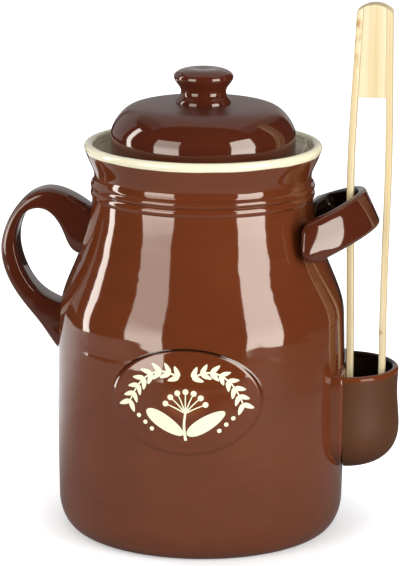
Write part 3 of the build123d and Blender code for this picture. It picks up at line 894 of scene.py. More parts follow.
def body_profile(sizes):
    """Closed outline of the thrown jar."""
    base = smooth_curve(
        [(sizes.foot_radius, 0.0), (sizes.low_radius, sizes.base_height)],
        (1.0, sizes.foot_ring / sizes.foot_radius), (0.0, 1.0), count=28)
    inner_low = sizes.floor + sizes.floor_corner
    roof = sizes.neck_height - sizes.wall
    inner_wall = sizes.low_radius - sizes.wall
    gutter = sizes.neck_height + sizes.step_height
    upstand = sizes.mouth_radius + sizes.upstand_wall
    top = sizes.neck_height + sizes.upstand_height
    inner_shoulder = smooth_curve([
        (sizes.mouth_radius, roof),
        (sizes.neck_radius - sizes.wall, roof - sizes.wall),
        (sizes.shoulder_high_radius - sizes.wall, sizes.shoulder_high_height),
        (sizes.shoulder_low_radius - sizes.wall, sizes.shoulder_low_height),
        (sizes.top_radius - sizes.wall, sizes.top_height),
    ], (1.0, 0.0), (0.0, -1.0), count=40)
    inner_straight = arc_through(
        (sizes.top_radius - sizes.wall, sizes.top_height),
        (sizes.belly_radius - sizes.wall, sizes.belly_height),
        (inner_wall, inner_low), count=24)
    slant = sizes.floor_corner * math.sqrt(0.5)
    corner = arc_through(
        (inner_wall, inner_low),
        (inner_wall - sizes.floor_corner + slant, inner_low - slant),
        (inner_wall - sizes.floor_corner, sizes.floor), count=12)
    ring = sizes.foot_radius - sizes.foot_ring
    outer_edge = sizes.upstand_wall / 3.0
    inner_edge = outer_edge * 0.75
    return join_points(
        [(0.0, sizes.foot_recess), (ring, sizes.foot_recess), (ring, 0.0)], base, wall_points(sizes),
        [(sizes.step_radius, sizes.neck_height), (sizes.step_radius, gutter), (upstand, gutter)],
        rounded_corner((upstand, gutter), (upstand, top), (sizes.mouth_radius, top), outer_edge),
        rounded_corner((upstand, top), (sizes.mouth_radius, top), (sizes.mouth_radius, roof), inner_edge),
        inner_shoulder, inner_straight, corner, [(0.0, sizes.floor)])


def collar_profile(sizes):
    """Closed outline of the water collar."""
    neck = sizes.neck_height
    radius = sizes.neck_radius
    beads = []
    low = neck
    for height in (sizes.low_bead, sizes.high_bead):
        out = (radius + sizes.bead_relief, low + height / 2.0)
        beads += arc_through((radius, low), out, (radius, low + height), count=14)
        low += height
    lip_low = neck + sizes.collar_height - sizes.lip_width / 2.0
    lip_lean = 0.3
    flare_out = smooth_curve([
        (radius, low),
        (sizes.waist_radius, neck + sizes.waist_rise),
        (sizes.flare_radius, neck + sizes.flare_rise),
        (sizes.lip_radius, lip_low),
    ], (-1.0, 1.0), (lip_lean, 1.0), count=36)
    lip = arc_through(
        (sizes.lip_radius, lip_low),
        (sizes.lip_radius - sizes.lip_width / 2.0, neck + sizes.collar_height),
        (sizes.lip_radius - sizes.lip_width, lip_low), count=18)
    flare_in = smooth_curve([
        (sizes.lip_radius - sizes.lip_width, lip_low),
        (sizes.flare_radius - sizes.lip_width, neck + sizes.flare_rise),
        (sizes.step_radius, neck + sizes.step_height),
    ], (-lip_lean, -1.0), (0.0, -1.0), count=28)
    return join_points(beads, flare_out, lip, flare_in, [(sizes.step_radius, neck), (radius, neck)])


DOME_SHARES = (
    (1.0, 0.0), (0.978, 0.27), (0.935, 0.49), (0.88, 0.68), (0.80, 0.85), (0.70, 0.94), (0.52, 0.985),
    (0.0, 1.0))


def dome_points(radius, skirt_top, top, count):
    """Outline of the lid's dome from the skirt's top to the axis."""
    points = [(radius * across, skirt_top + (top - skirt_top) * up) for across, up in DOME_SHARES]
    return smooth_curve(points, (0.0, 1.0), (-1.0, 0.0), count)


def lid_heights(sizes):
    """Heights of the lid's lower edge and of its crown."""
    low = sizes.neck_height + sizes.step_height + sizes.seat
    return low, low + sizes.dome_height


def lid_profile(sizes):
    """Open outline of the bell lid, both ends on the axis."""
    low, top = lid_heights(sizes)
    skirt_top = low + sizes.skirt_height
    inner = sizes.lid_radius - sizes.lid_wall
    edge = sizes.lid_wall / 4.0
    inside = dome_points(inner, skirt_top - sizes.lid_wall, top - sizes.roof, count=36)
    outer_edge = rounded_corner((inner, low), (sizes.lid_radius, low), (sizes.lid_radius, skirt_top), edge)
    inner_edge = rounded_corner((inner, skirt_top), (inner, low), (sizes.lid_radius, low), edge)
    outside = dome_points(sizes.lid_radius, skirt_top, top, count=60)
    return join_points(reversed(inside), inner_edge, outer_edge, outside)


def knob_profile(sizes):
    """Open outline of the knob, from its rolled foot over the waist to the flat crown and the axis."""
    crown = lid_heights(sizes)[1]
    shares = (
        (sizes.knob_foot, 1.0, -0.04), (sizes.knob_foot, 0.98, 0.08), (sizes.knob_waist, 1.08, 0.19),
        (sizes.knob_waist, 1.0, 0.29), (sizes.knob_waist, 1.035, 0.43), (sizes.knob_radius, 0.925, 0.60),
        (sizes.knob_radius, 1.0, 0.78), (sizes.knob_radius, 0.78, 0.95), (sizes.knob_radius, 0.0, 0.965))
    points = [(radius * across, crown + sizes.knob_height * up) for radius, across, up in shares]
    side = smooth_curve(points, (0.0, 1.0), (-1.0, 0.0), count=90)
    return join_points([(0.0, side[0][1])], side)


# Applied pieces


HANDLE_OUTER_SHARES = (
    (-0.04, 0.87), (0.228, 0.965), (0.37, 0.993), (0.51, 1.0), (0.68, 0.965), (0.84, 0.88), (0.96, 0.75),
    (1.0, 0.63), (0.945, 0.485), (0.75, 0.31), (0.545, 0.17), (0.40, 0.055), (0.28, -0.02))
HANDLE_INNER_SHARES = (
    (0.04, 0.60), (0.215, 0.635), (0.30, 0.725), (0.37, 0.81), (0.49, 0.875), (0.68, 0.87), (0.795, 0.78),
    (0.82, 0.67), (0.765, 0.54), (0.60, 0.40), (0.41, 0.335), (0.26, 0.30), (0.12, 0.25))
HANDLE_ROOT_SHARE = 0.55
HANDLE_SQUARENESS = 0.46


def handle_side(shares, sizes, applied):
    """Points along one edge of the handle, seen from the front."""
    return smooth_curve([
        (-sizes.neck_radius - applied.handle_reach * out, applied.handle_low + applied.handle_height * up)
        for out, up in shares
    ], count=97)


def handle_mesh(sizes, applied):
    """Vertices and faces of the pulled handle, sunk a little into the wall at both roots."""
    section = superellipse(applied.handle_depth / 2.0, 1.0, HANDLE_SQUARENESS, count=52)
    outer_side = handle_side(HANDLE_OUTER_SHARES, sizes, applied)
    inner_side = handle_side(HANDLE_INNER_SHARES, sizes, applied)
    vertices = []
    for outer, inner in zip(outer_side, inner_side):
        middle = (Vector(outer) + Vector(inner)) / 2.0
        if -middle.x >= wall_radius(middle.y) - sizes.wall * HANDLE_ROOT_SHARE:
            across = (Vector(outer) - Vector(inner)) / 2.0
            vertices += [
                (middle.x + across.x * side, depth, middle.y + across.y * side) for depth, side in section]
    return vertices, swept_faces(len(vertices) // len(section), len(section))


def smooth_copy(name):
    """Copy of a CAD node's mesh with its doubled points joined, so that it shades smoothly."""
    work = bmesh.new()
    work.from_mesh(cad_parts[name].data)
    bmesh.ops.remove_doubles(work, verts=work.verts[:], dist=SAME_PLACE)
    mesh = bpy.data.meshes.new(name + "_visual")
    work.to_mesh(mesh)
    work.free()
    return mesh


def pad_outline(applied, inset, count=20):
    """Closed outline of the cup's pad in its plane, as (side, height) points, moved inwards by inset."""
    half = applied.pad_half - inset
    high = applied.pad_high - inset
    curve_top = applied.pad_low + applied.pad_curve
    base = [
        (half * math.cos(t), curve_top + (applied.pad_curve - inset) * math.sin(t))
        for t in np.linspace(-math.pi, 0.0, 2 * count)
    ]
    corner = applied.pad_corner - inset
    right = [
        (half - corner + corner * math.cos(t), high - corner + corner * math.sin(t))
        for t in np.linspace(0.0, math.pi / 2.0, count)
    ]
    return base + right + [(-side, height) for side, height in reversed(right)]


def pad_mesh(sizes, applied):
    """Vertices and faces of the clay pad, from inside the wall to its flat face."""
    edge = applied.pad_edge
    steps = [(0.0, sizes.foot_radius)]
    for t in np.linspace(0.0, math.pi / 2.0, 7):
        steps.append((edge * (1.0 - math.cos(t)), applied.pad_face - edge + edge * math.sin(t)))
    steps.append((edge * 3.0, applied.pad_face))
    outlines = [pad_outline(applied, inset) for inset, _ in steps]
    vertices = [
        (x, side + applied.cup_shift, height)
        for (_, x), outline in zip(steps, outlines) for side, height in outline
    ]
    return vertices, swept_faces(len(steps), len(outlines[0]))


CUP_OUTER_SHARES = ((0.32, 0.0), (0.72, 0.075), (0.95, 0.207), (1.0, 0.6), (0.985, 0.82), (1.0, 0.965))
CUP_INNER_SHARES = ((0.86, 0.0), (0.93, 0.08), (0.97, 0.20), (1.0, 0.50), (0.985, 0.80), (1.0, 0.94))


def cup_side(shares, radius, low, high, count):
    """Points up one side of the half cup's wall."""
    return smooth_curve([(radius * out, low + (high - low) * up) for out, up in shares], count=count)


def cup_mesh(applied, turns=72):
    """Vertices and faces of the half cup, an outline turned half way round on the pad's face."""
    floor = applied.cup_low + applied.cup_floor
    top = applied.cup_low + applied.cup_height
    outer = cup_side(CUP_OUTER_SHARES, applied.cup_radius, applied.cup_low, top, 36)
    inner = cup_side(CUP_INNER_SHARES, applied.cup_radius - applied.cup_wall, floor, top, 30)
    rim = arc_through(outer[-1], (applied.cup_radius - applied.cup_wall / 2.0, top), inner[-1], 10)
    profile = join_points([(0.0, applied.cup_low)], outer, rim, reversed(inner), [(0.0, floor)])
    vertices = []
    for t in np.linspace(-math.pi / 2.0, math.pi / 2.0, turns + 1):
        for radius, height in profile:
            side = radius * math.sin(t) * applied.cup_half / applied.cup_radius
            vertices.append((applied.pad_face + radius * math.cos(t), applied.cup_shift + side, height))
    count = len(profile)
    faces = [
        (a, a + 1, a + count + 1, a + count)
        for r in range(turns) for a in range(r * count, (r + 1) * count - 1)
    ]
    faces.append(tuple(range(count)))
    faces.append(tuple(reversed(range(turns * count, (turns + 1) * count))))
    return vertices, faces


def wall_point(across, up, offset):
    """Point on the front of the wall at a sideways distance and a height, lifted by offset."""
    radius = wall_radius(up) + offset
    return (across, -math.sqrt(radius * radius - across * across), up)


MEDALLION_RING_SHARES = (0.0, 0.2, 0.4, 0.55, 0.7, 0.8, 0.88, *np.linspace(0.89, 1.0, 14))


def medallion_mesh(applied, around=160):
    """Vertices and faces of the oval pad with its soft edge; it follows the wall."""
    vertices = []
    for front in (True, False):
        for ring in MEDALLION_RING_SHARES:
            soft = min((1.0 - ring) / applied.oval_edge, 1.0)
            edge = soft * soft * (3.0 - 2.0 * soft)
            dome = 1.0 - ring * ring
            rise = applied.oval_relief * (edge * (1.0 - applied.oval_dome) + dome * applied.oval_dome)
            offset = rise if front else -MM
            for t in np.linspace(0.0, 2.0 * math.pi, around, endpoint=False):
                across = applied.oval_half_width * ring * math.cos(t)
                up = applied.oval_height + applied.oval_half_height * ring * math.sin(t)
                vertices.append(wall_point(across, up, offset))
    behind = len(MEDALLION_RING_SHARES) * around
    rim = behind - around
    faces = []
    for i in range(around):
        j = (i + 1) % around
        for a in range(0, rim, around):
            b = a + around
            faces.append((b + i, b + j, a + j, a + i))
            faces.append((behind + a + i, behind + a + j, behind + b + j, behind + b + i))
        faces.append((rim + i, rim + j, behind + rim + j, behind + rim + i))
    return vertices, faces


# Tongs


STATION_SHARES = (0.0, 0.164, 0.246, 0.442, 0.636, 0.772, 1.0)
LEFT_BOW_SHARES = (0.02, 0.032, 0.042, 0.092, 0.122, 0.036, -0.153)
RIGHT_BOW_SHARES = (0.006, 0.137, 0.14, 0.168, 0.224, 0.204, 0.148)
CROWN_SHARES = (-0.78, 0.14, 1.16)


def arm_line(tongs, side, inset, tip_inset):
    """Heights and distances of one long face of an arm; side is -1 for the left arm, 1 for the right."""
    points = []
    for station, bow in zip(STATION_SHARES, LEFT_BOW_SHARES if side < 0 else RIGHT_BOW_SHARES):
        depth = inset if station else tip_inset
        points.append((
            tongs.centre + side * (tongs.tip_gap / 2.0 + tongs.arm + tongs.gap * bow - depth),
            tongs.low + (tongs.height + tongs.crown) * station))
    line = smooth_curve(points, count=140)
    return [z for _, z in line], [x for x, _ in line]


def crown_height(tongs, x):
    """Height of the tongs' rounded top at a distance from the jar's axis."""
    reach = tongs.gap / 2.0 + tongs.arm
    low = tongs.low + tongs.height - tongs.crown
    left, middle, right = (tongs.centre + reach * out for out in CROWN_SHARES)
    arc = arc_through((left, low), (middle, low + tongs.crown_rise), (right, low), count=60)
    return float(np.interp(x, *zip(*arc)))


def bar_section(width, depth, edge, spacing=1.2 * MM):
    """Closed outline of a bar's section with rounded edges, and points between them in front and behind."""
    half = depth / 2.0
    corners = [(0.0, -half), (width, -half), (width, half), (0.0, half)]
    parts = max(4, round(width / spacing))
    between = [edge + (width - 2.0 * edge) * i / parts for i in range(1, parts)]
    rows = {0: [(x, -half) for x in between], 2: [(x, half) for x in reversed(between)]}
    section = []
    for i in range(4):
        section += rounded_corner(corners[i - 1], corners[i], corners[(i + 1) % 4], edge, 5) + rows.get(i, [])
    return section


def bar_mesh(tongs, left_line, right_line, low, steps=90):
    """Vertices and faces of a bar between two side lines, from low up to the rounded crown."""
    def across(part, z):
        """Distance from the jar's axis at a share of the bar's width and a height."""
        return np.interp(z, *left_line) * (1.0 - part) + np.interp(z, *right_line) * part

    width = right_line[1][0] - left_line[1][0]
    section = bar_section(width, tongs.depth, tongs.edge)
    columns = []
    for side, depth in section:
        part = side / width
        high = low
        for _ in range(3):
            high = crown_height(tongs, across(part, high))
        columns.append([(across(part, z), depth, z) for z in np.linspace(low, high, steps + 1)])
    vertices = [point for ring in zip(*columns) for point in ring]
    count = len(section)
    faces = swept_faces(steps + 1, count)[:-2]
    top = steps * count
    for i in range(count // 2 - 1):
        a, b, c, d = i, i + 1, count - 2 - i, count - 1 - i
        faces += [(d, c, b, a), (top + a, top + b, top + c, top + d)]
    return vertices, faces


# Painted design


def oval_shape(centre, half_length, half_width, turn=0.0, taper=0.0, count=40):
    """Outline of a rounded, optionally tapered shape in the design's plane, in millimetres."""
    points = []
    for i in range(count):
        t = 2.0 * math.pi * i / count
        along = math.cos(t) * half_length
        side = math.sin(t) * half_width * (1.0 - taper * math.cos(t))
        points.append((
            centre[0] + along * math.cos(turn) - side * math.sin(turn),
            centre[1] + along * math.sin(turn) + side * math.cos(turn)))
    return points


def stroke_shape(points, start_width, end_width, count=24):
    """Outline of a brush stroke through the points, in millimetres."""
    line = smooth_curve(points, count=count)
    left, right = [], []
    for i, (x, y) in enumerate(line):
        before, after = line[max(i - 1, 0)], line[min(i + 1, count - 1)]
        tangent = Vector((after[0] - before[0], after[1] - before[1])).normalized()
        half = (start_width + (end_width - start_width) * i / (count - 1)) / 2.0
        left.append((x - tangent.y * half, y + tangent.x * half))
        right.append((x + tangent.y * half, y - tangent.x * half))
    return left + list(reversed(right))


def flat_piece(outlines, thickness=1.0, longest=2.5):
    """Mesh of filled outlines of the design, in millimetres, cut fine enough to bend round the wall."""
    work = bmesh.new()
    for outline in outlines:
        work.faces.new([work.verts.new((x, y, 0.0)) for x, y in outline])
    bmesh.ops.triangulate(work, faces=work.faces[:])
    for _ in range(4):
        long_edges = [edge for edge in work.edges if edge.calc_length() > longest]
        if not long_edges:
            break
        bmesh.ops.subdivide_edges(work, edges=long_edges, cuts=1)
        bmesh.ops.triangulate(work, faces=work.faces[:])
    made = bmesh.ops.extrude_face_region(work, geom=work.faces[:])
    lifted = [item for item in made["geom"] if isinstance(item, bmesh.types.BMVert)]
    bmesh.ops.translate(work, verts=lifted, vec=(0.0, 0.0, thickness))
    bmesh.ops.recalc_face_normals(work, faces=work.faces[:])
    mesh = bpy.data.meshes.new("flat_piece")
    work.to_mesh(mesh)
    work.free()
    return mesh


VINE_POINTS = ((4.5, 18.0), (17.0, 21.5), (31.0, 13.0), (38.5, -1.0))
FLOWER_FOOT = -7.0


def design_vines():
    """Lines of the two twigs that meet at the top of the design, in millimetres."""
    return [smooth_curve([(side * x, y) for x, y in VINE_POINTS], count=24) for side in (-1.0, 1.0)]


def design_leaves(vines, paint):
    """Mesh of the leaves along the twigs."""
    leaf = linked_object("leaf", flat_piece([oval_shape((4.2, 0.0), 4.2, 1.7, taper=0.35, count=24)]))
    curve = bpy.data.curves.new("vines", "CURVE")
    curve.dimensions = "2D"
    for vine in vines:
        spline = curve.splines.new("POLY")
        spline.points.add(len(vine) - 1)
        for point, (x, y) in zip(spline.points, vine):
            point.co = (x, y, 0.0, 1.0)
    leaves = through_nodes(
        linked_object("vines", curve), leaf_row_group(leaf, paint), {"Pairs": 8, "Lean": 0.75, "Seed": 3})
    bpy.data.objects.remove(leaf)
    return leaves


def dot(centre, radius):
    """Outline of a dot."""
    return oval_shape(centre, radius, radius, count=18)


def design_strokes(vines):
    """Mesh of the twigs, two broad leaves with rows of dots, and the flower head on its stalk."""
    strokes = [stroke_shape(vine, start_width=1.5, end_width=0.9, count=30) for vine in vines]
    first_dot, next_dot = (23.0, -19.0), (4.6, 4.2)
    for side in (-1.0, 1.0):
        strokes.append(oval_shape(
            (side * 14.0, -14.0), half_length=15.0, half_width=5.0, turn=side * 0.56, taper=0.12))
        for step in range(3):
            across, up = (first + further * step for first, further in zip(first_dot, next_dot))
            strokes.append(dot((side * across, up), radius=1.5))
    foot, ray, ray_turn, bend = (0.0, FLOWER_FOOT), 15.0, 0.38, (7.5, 8.4)
    for step in range(-3, 4):
        across, up = math.sin(step * ray_turn), math.cos(step * ray_turn)
        middle = (across * bend[0], FLOWER_FOOT + up * bend[1])
        tip = (across * ray, FLOWER_FOOT + up * ray)
        strokes.append(stroke_shape([foot, middle, tip], start_width=1.0, end_width=0.7, count=10))
        strokes.append(dot(tip, radius=2.0))
    stalk = [foot, (-0.8, -16.0), (0.4, -26.0)]
    strokes.append(stroke_shape(stalk, start_width=1.5, end_width=2.0, count=14))
    return flat_piece(strokes)


def onto_medallion(mesh, applied):
    """Bends a flat mesh of the design round the medallion's face; its z becomes the paint's thickness."""
    for vertex in mesh.vertices:
        x, y, z = vertex.co
        lift = applied.oval_relief + applied.paint_thickness * (z - 0.5)
        vertex.co = wall_point(x * MM, applied.oval_height + y * MM, lift)


# Stage


def area_light(name, place, target, size, power):
    """Rectangular soft light that faces a point."""
    data = bpy.data.lights.new(name, "AREA")
    data.shape = "RECTANGLE"
    data.size, data.size_y = size
    data.energy = power
    light = linked_object(name, data)
    light.location = place
    light.rotation_euler = (Vector(target) - Vector(place)).to_track_quat("-Z", "Y").to_euler()
    return light


def brighter_foot(light, lift):
    """Makes a softbox brighter towards its lower edge, by a share of its brightness."""
    light.data.use_nodes = True
    tree = light.data.node_tree
    face = tree.nodes.new("ShaderNodeNewGeometry").outputs["Parametric"]
    height = node(tree, "ShaderNodeSeparateXYZ", {0: face}).outputs[1]
    strength = maths(tree, "ADD", 1.0, product(tree, ramp(tree, height, 0.58, 0.22), lift))
    tree.links.new(strength, tree.nodes["Emission"].inputs["Strength"])


def flat_card(name, low, high, height, material):
    """Flat rectangle between two corners at a height."""
    (x0, y0), (x1, y1) = low, high
    corners = [(x0, y0, height), (x1, y0, height), (x1, y1, height), (x0, y1, height)]
    card = linked_object(name, new_mesh(name, corners, [(0, 1, 2, 3)]))
    card.data.materials.append(material)
    return card


def grey(value):
    """Grey with full alpha."""
    return (value, value, value, 1.0)


def floor_material(stage):
    """White floor with a little light of its own, so that only a faint shadow shows."""
    material, tree, shader = principled(
        "white_floor", {"Base Color": grey(0.8), "Roughness": 0.9, "Emission Color": grey(1.0)})
    far = ramp(tree, vector_length(tree, object_place(tree)[0]), stage.glow_near, stage.glow_far)
    glow = maths(tree, "ADD", stage.floor_glow, product(tree, far, 1.0 - stage.floor_glow))
    tree.links.new(glow, shader.inputs["Emission Strength"])
    return material


def table_material(stage):
    """Pale table whose front and right side fall into shade, and that glows behind the jar's left side."""
    material, tree, shader = principled("pale_table", {"Roughness": 0.9, "Emission Color": grey(1.0)})
    x, y, _ = object_place(tree)[1:]
    shaded, left_glow, back_glow = (0.35, 0.7), (0.05, -0.25), (0.0, 0.35)
    lit = ramp(tree, y, -stage.table_front, stage.table_fade - stage.table_front)
    shade = product(tree, ramp(tree, x, *shaded), stage.table_shade)
    lit = product(tree, lit, maths(tree, "SUBTRACT", 1.0, shade))
    tree.links.new(mix_colour(tree, lit, grey(0.02), grey(stage.table_tone)), shader.inputs["Base Color"])
    glow = product(tree, ramp(tree, x, *left_glow), ramp(tree, y, *back_glow), stage.table_glow)
    tree.links.new(glow, shader.inputs["Emission Strength"])
    return material


def around_jar(azimuth, distance, height):
    """Point at an azimuth in degrees from the camera's side, to the right, and a distance from the axis."""
    turn = bpy.context.scene.jar_stage.camera_azimuth + math.radians(azimuth)
    return (distance * math.sin(turn), -distance * math.cos(turn), height)


# Operators


class OBJECT_OT_jar_body(bpy.types.Operator):
    """Throws the jar: foot, wall, shoulder, gutter floor and mouth"""

    bl_idname = "object.jar_body"
    bl_label = "Build Jar Body"
    bl_options = {"REGISTER", "UNDO"}

    def execute(self, context):
        sizes = context.scene.jar_sizes
        cream_edge = sizes.neck_height + sizes.step_height - MM
        material = two_glaze_material("jar_glaze_cream_inside", cream_edge, 0.0)
        thrown("jar_body_visual", body_profile(sizes), material, "jar", "jar_body", seed=1)
        return {"FINISHED"}


class OBJECT_OT_jar_collar(bpy.types.Operator):
    """Throws the flared water collar with its two beads and rounded lip"""

    bl_idname = "object.jar_collar"
    bl_label = "Build Water Collar"
    bl_options = {"REGISTER", "UNDO"}

    def execute(self, context):
        sizes = context.scene.jar_sizes
        cream_edge = sizes.neck_height + sizes.collar_height - sizes.lip_width * 0.86
        inside = sizes.flare_radius - sizes.lip_width * 0.6
        glaze = two_glaze_material("jar_glaze_cream_lip", cream_edge, inside)
        thrown("water_collar_visual", collar_profile(sizes), glaze, "jar", "water_collar", 2, ring_share=0.7)
        return {"FINISHED"}


class OBJECT_OT_jar_lid(bpy.types.Operator):
    """Throws the bell lid and its knob"""

    bl_idname = "object.jar_lid"
    bl_label = "Build Lid"
    bl_options = {"REGISTER", "UNDO"}

    def execute(self, context):
        sizes = context.scene.jar_sizes
        dome_glaze = lid_glaze("lid_glaze", lid_heights(sizes)[1])
        thrown("lid_dome_visual", lid_profile(sizes), dome_glaze, "lid", "lid_dome", 3, ring_share=0.7)
        knob_glaze = thick_glaze("thick_glaze")
        thrown("lid_knob_visual", knob_profile(sizes), knob_glaze, "lid", "lid_knob", 4, ring_share=0.7)
        return {"FINISHED"}


class OBJECT_OT_jar_handle(bpy.types.Operator):
    """Pulls the ear handle on the left"""

    bl_idname = "object.jar_handle"
    bl_label = "Build Ear Handle"
    bl_options = {"REGISTER", "UNDO"}

    def execute(self, context):
        mesh = new_mesh("ear_handle_visual", *handle_mesh(context.scene.jar_sizes, context.scene.jar_applied))
        glaze = thick_glaze("thick_glaze")
        finish_piece("ear_handle_visual", mesh, glaze, "jar", "ear_handle")
        return {"FINISHED"}


class OBJECT_OT_jar_strap(bpy.types.Operator):
    """Bends the strap loop that holds the tongs"""

    bl_idname = "object.jar_strap"
    bl_label = "Build Strap Loop"
    bl_options = {"REGISTER", "UNDO"}

    def execute(self, context):
        glaze = strap_material("strap_glaze", context.scene.jar_applied)
        mesh = smooth_copy("strap_loop")
        finish_piece("strap_loop_visual", mesh, glaze, "jar", "strap_loop", sharp=30.0)
        return {"FINISHED"}


class OBJECT_OT_jar_cup(bpy.types.Operator):
    """Builds the clay pad and the half cup that the tongs stand in"""

    bl_idname = "object.jar_cup"
    bl_label = "Build Half Cup"
    bl_options = {"REGISTER", "UNDO"}

    def execute(self, context):
        applied = context.scene.jar_applied
        pad = new_mesh("cup_pad_visual", *pad_mesh(context.scene.jar_sizes, applied))
        finish_piece("cup_pad_visual", pad, brown_glaze("jar_glaze"), "jar", "cup_pad")
        cup = new_mesh("tongs_cup_visual", *cup_mesh(applied))
        satin = cup_material("satin_glaze", applied)
        finish_piece("tongs_cup_visual", cup, satin, "jar", "tongs_cup", sharp=50.0)
        return {"FINISHED"}


class OBJECT_OT_jar_medallion(bpy.types.Operator):
    """Lays the oval medallion on the front wall and paints a leafy design on it"""

    bl_idname = "object.jar_medallion"
    bl_label = "Build Medallion"
    bl_options = {"REGISTER", "UNDO"}

    def execute(self, context):
        applied = context.scene.jar_applied
        oval = new_mesh("oval_medallion_visual", *medallion_mesh(applied))
        glaze = medallion_material("medallion_glaze", applied)
        finish_piece("oval_medallion_visual", oval, glaze, "jar", "oval_medallion")
        paint = plain_material("cream_paint", context.scene.jar_finishes.paint, 0.25, 0.0)
        vines = design_vines()
        painted = {"design_leaves": design_leaves(vines, paint), "design_strokes": design_strokes(vines)}
        for name, mesh in painted.items():
            onto_medallion(mesh, applied)
            finish_piece(name, mesh, paint, "jar", None, sharp=60.0)
        return {"FINISHED"}


class OBJECT_OT_jar_stones(bpy.types.Operator):
    """Gives the two weight stones their unglazed clay finish"""

    bl_idname = "object.jar_stones"
    bl_label = "Finish Weight Stones"
    bl_options = {"REGISTER", "UNDO"}

    def execute(self, context):
        clay = plain_material("weight_clay", context.scene.jar_finishes.stone, 0.8, 0.25)
        for name in ("weight_stone_front", "weight_stone_back"):
            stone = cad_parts[name]
            stone.data.materials.clear()
            stone.data.materials.append(clay)
        return {"FINISHED"}


class OBJECT_OT_jar_tongs(bpy.types.Operator):
    """Builds the two bamboo arms and the block between them"""

    bl_idname = "object.jar_tongs"
    bl_label = "Build Bamboo Tongs"
    bl_options = {"REGISTER", "UNDO"}

    def execute(self, context):
        tongs = context.scene.jar_tongs
        outside, inside = (0.0, 0.0), (tongs.arm, tongs.tip)
        high_mark = tongs.low + tongs.height * 0.955
        low_mark, no_mark = high_mark * 0.4, -1.0
        block_low = tongs.low + tongs.height - tongs.block
        # Each row: name, body, left face, right face, lowest height, node mark, mottling
        pieces = (
            ("tongs_left_arm", "left_arm", (-1, *outside), (-1, *inside), tongs.low, high_mark, 0.6),
            ("tongs_right_arm", "right_arm", (1, *inside), (1, *outside), tongs.low, low_mark, 0.0),
            ("tongs_block", "tongs", (-1, *inside), (1, *inside), block_low, no_mark, 0.0),
        )
        for name, body, left, right, low, mark, mottle in pieces:
            left_line, right_line = arm_line(tongs, *left), arm_line(tongs, *right)
            mesh = new_mesh(name + "_visual", *bar_mesh(tongs, left_line, right_line, low))
            reach = float(np.interp(mark, *left_line))
            material = bamboo_material("bamboo_" + name, mark, reach, mottle)
            finish_piece(name + "_visual", mesh, material, body, name)
        return {"FINISHED"}


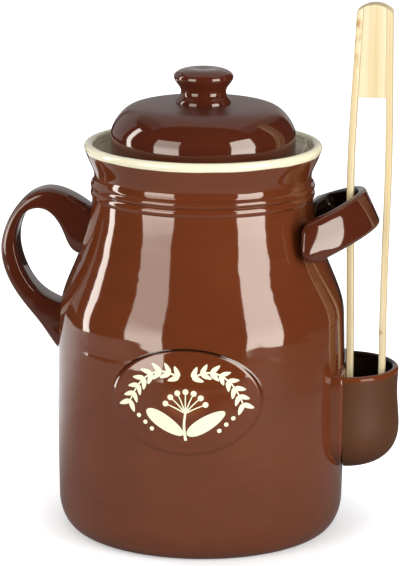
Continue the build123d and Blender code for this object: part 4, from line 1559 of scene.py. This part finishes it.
class OBJECT_OT_jar_stage(bpy.types.Operator):
    """Sets the camera, the pale table and the studio lights"""

    bl_idname = "object.jar_stage"
    bl_label = "Build Stage"
    bl_options = {"REGISTER", "UNDO"}

    def execute(self, context):
        stage = context.scene.jar_stage
        self.add_camera(context, stage)
        self.add_table(stage)
        self.add_lights(stage)
        self.add_studio(context, stage)
        return {"FINISHED"}

    def add_camera(self, context, stage):
        """Camera at the photograph's place, direction and focal length."""
        data = bpy.data.cameras.new("camera")
        data.sensor_width = 36.0
        data.lens = stage.focal * data.sensor_width / max(IMAGE_WIDTH, IMAGE_HEIGHT)
        data.clip_start = 0.1
        data.clip_end = 80.0
        camera = linked_object("camera", data)
        a, p, r = stage.heading, stage.pitch, stage.roll
        forward = Vector((-math.sin(a) * math.cos(p), math.cos(a) * math.cos(p), -math.sin(p)))
        right = Vector((math.cos(a), math.sin(a), 0.0))
        up = right.cross(forward)
        right, up = math.cos(r) * right + math.sin(r) * up, math.cos(r) * up - math.sin(r) * right
        matrix = Matrix((right, up, -forward)).transposed().to_4x4()
        matrix.translation = around_jar(0.0, stage.camera_distance, stage.camera_height)
        camera.matrix_world = matrix
        context.scene.camera = camera

    def add_table(self, stage):
        """Pale table that the camera doesn't see, and a wide white floor that only the camera sees."""
        half, wide = stage.table_half, stage.floor_half
        table = flat_card(
            "table", (-half, -stage.table_front), (half, stage.table_back), -0.5 * MM, table_material(stage))
        table.visible_camera = False
        floor = flat_card("floor", (-wide, -wide), (wide, wide), 0.0, floor_material(stage))
        for ray in ("glossy", "diffuse", "shadow"):
            setattr(floor, "visible_" + ray, False)

    def add_lights(self, stage):
        """Softboxes beside the jar, a strip light, lights above and behind it, and two fills."""
        aim = (0.0, 0.0, 0.45)
        # Each row: name, place, aim, width and height, power
        rows = (
            ("softbox_left", around_jar(-45.5, 1.3, 0.45), aim, (0.72, 1.25), stage.left_power),
            ("softbox_right", around_jar(50.0, 1.3, 0.42), aim, (0.7, 1.3), stage.right_power),
            ("strip_left", around_jar(-102.0, 1.1, 0.4), (0.0, 0.0, 0.4), (0.16, 1.3), stage.strip_power),
            ("overhead", (0.0, 1.3, 2.2), (0.0, 1.2, 0.0), (2.6, 3.4), stage.overhead_power),
            ("ceiling", (0.0, 1.9, 2.3), (0.0, 1.8, 0.0), (4.4, 4.6), stage.ceiling_power),
            ("back", (-0.1, 3.2, 1.1), (0.0, 0.0, 1.0), (2.6, 2.0), stage.back_power),
            ("side", around_jar(-136.0, 1.7, 0.75), (0.0, 0.0, 0.3), (1.2, 1.3), stage.side_power),
            ("fill", around_jar(20.0, 2.2, 1.0), (0.0, 0.0, 0.15), (1.0, 1.0), stage.fill_power),
            ("top", around_jar(-10.0, 0.9, 1.9), (0.0, 0.0, 0.27), (1.0, 1.0), stage.top_power),
        )
        lights = {row[0]: area_light(*row) for row in rows}
        brighter_foot(lights["softbox_left"], stage.left_lift)
        brighter_foot(lights["softbox_right"], stage.right_lift)
        for name in ("fill", "top"):
            lights[name].visible_glossy = False

    def add_studio(self, context, stage):
        """Dim, even light of the studio, and plain colours."""
        world = bpy.data.worlds.new("studio")
        world.use_nodes = True
        background = world.node_tree.nodes["Background"]
        background.inputs["Color"].default_value = grey(1.0)
        background.inputs["Strength"].default_value = stage.world_light
        context.scene.world = world
        context.scene.view_settings.view_transform = "Standard"


class VIEW3D_PT_jar(bpy.types.Panel):
    """Sidebar panel of the pickle jar."""

    bl_idname = "VIEW3D_PT_jar"
    bl_label = "Pickle Jar"
    bl_space_type = "VIEW_3D"
    bl_region_type = "UI"
    bl_category = "Pickle Jar"

    def draw(self, context):
        column = self.layout.column()
        for operator in OPERATORS:
            column.operator(operator.bl_idname)


OPERATORS = (
    OBJECT_OT_jar_body,
    OBJECT_OT_jar_collar,
    OBJECT_OT_jar_lid,
    OBJECT_OT_jar_handle,
    OBJECT_OT_jar_strap,
    OBJECT_OT_jar_cup,
    OBJECT_OT_jar_medallion,
    OBJECT_OT_jar_stones,
    OBJECT_OT_jar_tongs,
    OBJECT_OT_jar_stage,
)
GROUPS = {
    "jar_sizes": JarSizes,
    "jar_applied": AppliedSizes,
    "jar_tongs": TongsSizes,
    "jar_finishes": Finishes,
    "jar_stage": StageSizes,
}


def register():
    """Registers the sizes, the operators and the panel."""
    for name, group in GROUPS.items():
        bpy.utils.register_class(group)
        setattr(bpy.types.Scene, name, PointerProperty(type=group))
    for shown in (*OPERATORS, VIEW3D_PT_jar):
        bpy.utils.register_class(shown)


def unregister():
    """Removes what register added, in reverse order."""
    for shown in (VIEW3D_PT_jar, *reversed(OPERATORS)):
        bpy.utils.unregister_class(shown)
    for name, group in reversed(GROUPS.items()):
        delattr(bpy.types.Scene, name)
        bpy.utils.unregister_class(group)


def main():
    """Builds the jar."""
    register()
    for operator in OPERATORS:
        getattr(bpy.ops.object, operator.bl_idname.split(".")[1])()


if __name__ == "__main__":
    main()
